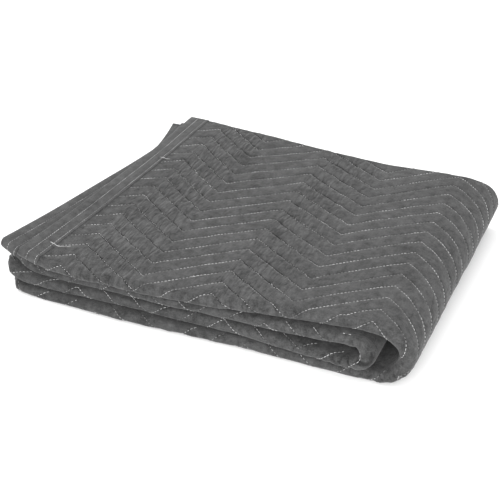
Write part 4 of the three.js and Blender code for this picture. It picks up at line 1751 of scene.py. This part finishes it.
class StitchTree(Nodes):
    """A node group that lays stitches along the edges of a mesh."""

    SINK, RISE = 0.45, 1.1  # of a stitch's ends and of its middle, in thicknesses of the thread
    LEAST, MOST = (0.7, 0.8, 0.55), (1.15, 1.15, 1.2)  # how much stitches differ in size
    INPUTS = {
        "Stitch spacing": ("NodeSocketFloat", 0.005),
        "Stitch length": ("NodeSocketFloat", 0.003),
        "Thread thickness": ("NodeSocketFloat", 0.0007),
        "Seed": ("NodeSocketInt", 1),
        "Thread": ("NodeSocketMaterial", None),
    }

    def __init__(self, name: str) -> None:
        """Builds the group.

        Args:
            name: its name.
        """
        super().__init__(bpy.data.node_groups.new(name, "GeometryNodeTree"))
        face = self.tree.interface
        face.new_socket("Geometry", in_out="INPUT", socket_type="NodeSocketGeometry")
        for label, (kind, value) in self.INPUTS.items():
            socket = face.new_socket(label, in_out="INPUT", socket_type=kind)
            if value is not None:
                socket.default_value = value
        face.new_socket("Geometry", in_out="OUTPUT", socket_type="NodeSocketGeometry")
        self._wire()

    def _stitch(self, given: Any) -> Any:
        """One stitch: a short arch of thread along X.

        Args:
            given: the node with the group's inputs.

        Returns:
            The socket that gives it.
        """
        half = Maths(self, given.outputs["Stitch length"]) * 0.5
        thick = Maths(self, given.outputs["Thread thickness"])
        sink, rise = thick * -self.SINK, thick * self.RISE
        corners = [
            self.node("ShaderNodeCombineXYZ", {}, {"X": x, "Z": z}).outputs[0]
            for x, z in ((half * -1.0, sink), (0.0, rise), (half, sink))
        ]
        arch = self.node(
            "GeometryNodeCurveQuadraticBezier",
            {},
            {"Resolution": 3, "Start": corners[0], "Middle": corners[1], "End": corners[2]},
        )
        ring = self.node(
            "GeometryNodeCurvePrimitiveCircle", {}, {"Resolution": 5, "Radius": thick * 0.5}
        )
        tube = self.node(
            "GeometryNodeCurveToMesh",
            {},
            {"Curve": arch.outputs[0], "Profile Curve": ring.outputs[0], "Fill Caps": True},
        )
        return self.node("GeometryNodeSetShadeSmooth", {}, {"Geometry": tube.outputs[0]}).outputs[0]

    def _wire(self) -> None:
        """Links the whole group."""
        given = self.node("NodeGroupInput", {}, {})
        curve = self.node("GeometryNodeMeshToCurve", {}, {"Mesh": given.outputs["Geometry"]})
        even = self.node(
            "GeometryNodeResampleCurve",
            {"mode": "LENGTH"},
            {"Curve": curve.outputs[0], "Length": given.outputs["Stitch spacing"]},
        )
        tangent = self.node("GeometryNodeInputTangent", {}, {}).outputs[0]
        outward = self.node(
            "GeometryNodeInputNamedAttribute", {"data_type": "FLOAT_VECTOR"}, {"Name": "outward"}
        ).outputs[0]
        along = self.node(
            "FunctionNodeAlignRotationToVector", {"axis": "X"}, {"Vector": tangent}
        ).outputs[0]
        turned = self.node(
            "FunctionNodeAlignRotationToVector",
            {"axis": "Z", "pivot_axis": "X"},
            {"Rotation": along, "Vector": outward},
        ).outputs[0]
        size = self.node(
            "FunctionNodeRandomValue",
            {"data_type": "FLOAT_VECTOR"},
            {0: self.LEAST, 1: self.MOST, "Seed": given.outputs["Seed"]},
        ).outputs[0]
        placed = self.node(
            "GeometryNodeInstanceOnPoints",
            {},
            {
                "Points": even.outputs[0],
                "Instance": self._stitch(given),
                "Rotation": turned,
                "Scale": size,
            },
        )
        real = self.node("GeometryNodeRealizeInstances", {}, {"Geometry": placed.outputs[0]})
        dressed = self.node(
            "GeometryNodeSetMaterial",
            {},
            {"Geometry": real.outputs[0], "Material": given.outputs["Thread"]},
        )
        self.node("NodeGroupOutput", {}, {0: dressed.outputs[0]})

    def apply(
        self, name: str, seams: Sequence[Seam], stitching: Stitching, thread: bpy.types.Material
    ) -> bpy.types.Object:
        """Lays stitches along seams and makes them one plain mesh.

        Args:
            name: the object's name.
            seams: the lines to follow.
            stitching: the kind of stitch.
            thread: the finish.

        Returns:
            The object.
        """
        counts = [len(s.points) for s in seams]
        starts = np.concatenate([[0], np.cumsum(counts)[:-1]])
        edges = [(int(a) + i, int(a) + i + 1) for a, n in zip(starts, counts) for i in range(n - 1)]
        mesh = bpy.data.meshes.new(name + "_path")
        mesh.from_pydata((np.vstack([s.points for s in seams]) * MM).tolist(), edges, [])
        kept = mesh.attributes.new("outward", "FLOAT_VECTOR", "POINT")
        outward = np.vstack([s.outward for s in seams]).astype(np.float32)
        kept.data.foreach_set("vector", outward.ravel())
        path = bpy.data.objects.new(name + "_path", mesh)
        bpy.context.scene.collection.objects.link(path)
        modifier = path.modifiers.new("stitches", "NODES")
        modifier.node_group = self.tree
        values = {
            "Stitch spacing": stitching.spacing * MM,
            "Stitch length": stitching.length * MM,
            "Thread thickness": stitching.thickness * MM,
            "Seed": stitching.seed,
            "Thread": thread,
        }
        for socket in self.tree.interface.items_tree:
            if socket.in_out == "INPUT" and socket.name in values:
                modifier[socket.identifier] = values[socket.name]
        depsgraph = bpy.context.evaluated_depsgraph_get()
        plain = bpy.data.meshes.new_from_object(path.evaluated_get(depsgraph))
        plain.name = name
        path.modifiers.remove(modifier)
        bpy.data.objects.remove(path)
        made = bpy.data.objects.new(name, plain)
        if not plain.materials:
            plain.materials.append(thread)
        bpy.context.scene.collection.objects.link(made)
        return made


@dataclass
class Thread:
    """All the sewing thread that shows.

    Attributes:
        cloth: the cloth that the quilting holds.
        tape: the tape over its upper end.
        binding: the sizes of the tapes.
        quilting: the quilting's stitch.
        edging: the binding's stitch.
        tack: the close stitches of a knot.
        cuts: places on a seam to each column of the cloth.
        knots: ends of the knots, in the strip's own coordinates, in millimetres.
    """

    LINES = range(-16, 10)  # numbers of the lines of quilting that show somewhere
    OPEN_TO = 11.2  # the station up to which the whole first ply shows
    FRONT_PART, BACK_PART = 0.94, 0.8  # how far round the folds a line goes on
    BESIDE_FRONT = 6.0  # how far behind the front fold it goes on elsewhere, in millimetres
    OFF_TAPE = 1.0  # how far from the tape it stops, in millimetres
    LOWEST, LOWEST_EDGING = 1.8, 1.2  # the least heights of the thread, in millimetres
    LIFT, DRAWN_IN = 0.32, 0.5  # how far the thread lies off the cloth, and a full pull draws it in
    EDGING_LIFT = 0.38  # how far it lies off the tape
    KNOT_POINTS, KNOT_LIFT = 6, 0.5
    ABOVE = 0.2  # a height over the whole blanket, in metres
    SHORTEST = 3  # the fewest points of a seam on the binding
    LEFT_OFF = 2  # how many points of an end's seam are left off at either side

    cloth: bpy.types.Object
    tape: bpy.types.Object
    binding: Binding
    quilting: Stitching = Stitching(4.2, 2.6, 0.68, 3)
    edging: Stitching = Stitching(3.8, 2.6, 0.64, 5)
    tack: Stitching = Stitching(1.2, 1.8, 0.9, 7)
    cuts: int = 3
    knots: tuple[tuple[tuple[float, float], tuple[float, float]], ...] = (
        ((-218.0, -168.0), (-207.0, -167.8)),
        ((-207.0, -167.8), (-194.0, -163.0)),
        ((-196.0, 82.0), (-184.0, 84.0)),
        ((-21.5, -175.5), (-19.0, -173.8)),
        ((-19.0, -173.8), (-20.5, -173.0)),
    )

    def __post_init__(self) -> None:
        """Prepares to find places on the cloth and on the upper end's tape."""
        depsgraph = bpy.context.evaluated_depsgraph_get()
        self.surface = BVHTree.FromObject(self.cloth, depsgraph)
        self.upper = BVHTree.FromObject(self.tape, depsgraph)

    @staticmethod
    def _stretches(keep: Array, least: int) -> list[slice]:
        """The stretches of a line that are kept and have at least so many points."""
        edges = np.flatnonzero(np.diff(np.concatenate([[0], keep.astype(int), [0]])))
        return [slice(a, b) for a, b in zip(edges[::2], edges[1::2]) if b - a >= least]

    def _laid(self, points: Array, lift: Array) -> Seam:
        """Lays a seam on the cloth.

        Args:
            points: its points, near the cloth.
            lift: how far off the cloth each of them lies.

        Returns:
            The seam.
        """
        found = [self.surface.find_nearest(Vector(p)) for p in (points * MM).tolist()]
        outward = np.array([hit[1] for hit in found])
        placed = np.array([hit[0] for hit in found]) / MM
        return Seam(placed + outward * lift[:, None], outward)

    def quilting_seams(self) -> list[Seam]:
        """The lines of quilting where they show.

        Returns:
            The seams.
        """
        cuts = np.linspace(0.0, 1.0, self.cuts, endpoint=False)
        along = FOLDS.columns.along
        dense = (along[:-1, None] + np.diff(along)[:, None] * cuts).ravel()
        columns, distance = FOLDS.at(dense), np.interp(dense, along, FOLDS.distance)
        from_end = np.minimum(distance - distance[0], distance[-1] - distance)
        front, back = FOLDS.arcs(columns)
        lift = self.LIFT - self.DRAWN_IN * QUILTING.pull(distance)
        on_top = columns.along < self.OPEN_TO
        seams: list[Seam] = []
        for line in self.LINES:
            across = QUILTING.shift(distance) + line * QUILTING.pitch
            rows = FOLDS.on_face(columns, across)
            points = FOLDS.point(columns, rows, np.full((len(dense), 1), CLOTH.thickness / 2))[:, 0]
            low = columns.start - front * self.FRONT_PART
            high = columns.end + back * self.BACK_PART
            near_front = across < columns.start + self.BESIDE_FRONT
            keep = (across > low) & (across < high) & (on_top | near_front)
            keep &= from_end > CLOTH.tape_width + self.OFF_TAPE
            keep &= points[:, 2] > self.LOWEST
            stretches = self._stretches(keep, self.cuts + 1)
            seams += [self._laid(points[part], lift[part]) for part in stretches]
        return seams

    def tacks(self) -> list[Seam]:
        """The knots where a line of quilting starts, and a loose end of thread.

        Returns:
            The seams.
        """
        seams: list[Seam] = []
        for start, end in self.knots:
            flat = np.linspace(start, end, self.KNOT_POINTS) + np.array(PLACE[:2])
            tops = [self.above(x, y) for x, y in flat.tolist()]
            points = np.column_stack([flat, tops]) + np.array([0.0, 0.0, self.KNOT_LIFT])
            seams.append(Seam(points, np.tile([0.0, 0.0, 1.0], (len(points), 1))))
        return seams

    def above(self, x: float, y: float) -> float:
        """Height of the blanket's top at a place.

        Args:
            x: along the blanket, in millimetres.
            y: across it, in millimetres.

        Returns:
            The height, in millimetres.
        """
        start, down = Vector((x * MM, y * MM, self.ABOVE)), Vector((0.0, 0.0, -1.0))
        hits = [tree.ray_cast(start, down)[0] for tree in (self.surface, self.upper)]
        return max(place.z for place in hits if place is not None) / MM

    def edging_seams(self) -> tuple[list[Seam], list[Seam]]:
        """The two rows of stitches along each tape.

        Returns:
            The seams of the end tapes and those of the side tapes.
        """
        ends: list[Seam] = []
        sides: list[Seam] = []
        inner = slice(self.LEFT_OFF, -self.LEFT_OFF)
        height = CLOTH.outside - self.binding.dip + self.EDGING_LIFT
        for inward in self.binding.rows_of_stitches:
            for sign in (1.0, -1.0):
                low = np.array([[inward, sign * height]])
                high = np.array([[inward, sign * (height + 1.0)]])
                for upper in (True, False):
                    points = self.binding.end_points(upper, low)[0][:, 0]
                    outward = self.binding.end_points(upper, high)[0][:, 0] - points
                    ends.append(Seam(points[inner], outward[inner]))
                for ply in (Ply.THIRD, Ply.FOURTH):
                    points = self.binding.side_points(ply, low)[:, 0]
                    outward = self.binding.side_points(ply, high)[:, 0] - points
                    shown = self._stretches(points[:, 2] > self.LOWEST_EDGING, self.SHORTEST)
                    sides += [Seam(points[part], outward[part]) for part in shown]
        return ends, sides

    def build(self) -> list[bpy.types.Object]:
        """Lays all stitches.

        Returns:
            The pieces.
        """
        tree = StitchTree("stitches_along_a_seam")
        quilting, edging = QUILTING_THREAD.material(), BINDING_THREAD.material()
        ends, sides = self.edging_seams()
        return [
            tree.apply("quilting_thread", self.quilting_seams(), self.quilting, quilting),
            tree.apply("quilting_knots", self.tacks(), self.tack, quilting),
            tree.apply("end_binding_thread", ends, self.edging, edging),
            tree.apply("side_binding_thread", sides, self.edging, edging),
        ]


# ---------------------------------------------------------------- stage


@dataclass(frozen=True)
class Lamp:
    """A soft square light.

    Attributes:
        name: its name.
        place: where it is, in metres.
        size: its side, in metres.
        power: its power, in watts.
    """

    name: str
    place: tuple[float, float, float]
    size: float
    power: float


@dataclass
class Studio:
    """Floor, lights and camera.

    Attributes:
        azimuth: of the camera, in degrees.
        elevation: of the camera, in degrees.
        distance: from the camera to the point it looks at, in metres.
        target: that point, in the part's frame, in metres.
        lens: focal length, in millimetres.
        shift: of the lens, as parts of the frame.
        room: strength of the even light.
        lamps: the lights.
    """

    FLOOR = 6.0  # half of its side, in metres
    SENSOR = 36.0  # width of the camera's sensor, in millimetres
    NEAR, FAR = 0.05, 50.0  # the camera's clipping distances, in metres

    azimuth: float = 22.728
    elevation: float = 29.635
    distance: float = 1.4249
    target: tuple[float, float, float] = (PLACE[0] * MM, PLACE[1] * MM, 0.04)
    lens: float = 79.2
    shift: tuple[float, float] = (-0.03424, -0.0483)
    room: float = 1.2
    lamps: tuple[Lamp, ...] = (
        Lamp("key", (-1.3, 0.5, 1.6), 1.0, 18.0),
        Lamp("fill", (0.7, -1.9, 0.9), 1.4, 54.0),
    )

    def floor(self) -> bpy.types.Object:
        """Makes the floor.

        Returns:
            The object.
        """
        mesh = bpy.data.meshes.new("floor")
        side = self.FLOOR
        corners = [(-side, -side, 0.0), (side, -side, 0.0), (side, side, 0.0), (-side, side, 0.0)]
        mesh.from_pydata(corners, [], [(0, 1, 2, 3)])
        mesh.materials.append(FloorFinish().material())
        made = bpy.data.objects.new("floor", mesh)
        bpy.context.scene.collection.objects.link(made)
        return made

    def camera(self) -> bpy.types.Object:
        """Makes the camera and gives it to the scene.

        Returns:
            The object.
        """
        turn, tilt = math.radians(self.azimuth), math.radians(self.elevation)
        back = Vector(
            (math.sin(turn) * math.cos(tilt), -math.cos(turn) * math.cos(tilt), math.sin(tilt))
        )
        data = bpy.data.cameras.new("camera")
        data.lens, data.sensor_width = self.lens, self.SENSOR
        data.shift_x, data.shift_y = self.shift
        data.clip_start, data.clip_end = self.NEAR, self.FAR
        made = bpy.data.objects.new("camera", data)
        made.location = Vector(self.target) + back * self.distance
        made.rotation_mode = "QUATERNION"
        made.rotation_quaternion = (-back).to_track_quat("-Z", "Y")
        bpy.context.scene.collection.objects.link(made)
        bpy.context.scene.camera = made
        return made

    def light(self, lamp: Lamp) -> None:
        """Makes a light that points at the blanket.

        Args:
            lamp: its place, size and power.
        """
        data = bpy.data.lights.new(lamp.name, "AREA")
        data.shape, data.size, data.energy = "SQUARE", lamp.size, lamp.power
        made = bpy.data.objects.new(lamp.name, data)
        made.location = lamp.place
        toward = Vector(self.target) - Vector(lamp.place)
        made.rotation_mode = "QUATERNION"
        made.rotation_quaternion = toward.to_track_quat("-Z", "Y")
        bpy.context.scene.collection.objects.link(made)

    def world(self) -> None:
        """Lights the room evenly."""
        world = bpy.data.worlds.new("studio")
        world.use_nodes = True
        back = world.node_tree.nodes["Background"]
        back.inputs["Color"].default_value = (1.0, 1.0, 1.0, 1.0)
        back.inputs["Strength"].default_value = self.room
        bpy.context.scene.world = world

    def build(self) -> None:
        """Sets the whole stage."""
        self.floor()
        self.camera()
        self.world()
        for lamp in self.lamps:
            self.light(lamp)
        bpy.context.scene.view_settings.view_transform = "Standard"


# ---------------------------------------------------------------- the whole blanket


def main() -> None:
    """Builds the blanket, its binding, its thread and the stage."""
    logging.basicConfig(level=logging.INFO, format="%(name)s: %(message)s")
    cloth = QuiltedCloth()
    binding = Binding()
    sheet = cloth.build()
    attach(sheet, "root")
    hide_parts("quilted_cloth")
    LOG.info("%s: %d faces", sheet.name, len(sheet.data.polygons))
    extras: list[bpy.types.Object] = []
    for node, tape in binding.build().items():
        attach(tape, "root")
        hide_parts(node)
        extras.append(tape)
        LOG.info("%s: %d faces", tape.name, len(tape.data.polygons))
    for thread in Thread(sheet, extras[0], binding).build():
        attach(thread, "root")
        extras.append(thread)
        LOG.info("%s: %d faces", thread.name, len(thread.data.polygons))
    Studio().build()


if __name__ == "__main__":
    main()
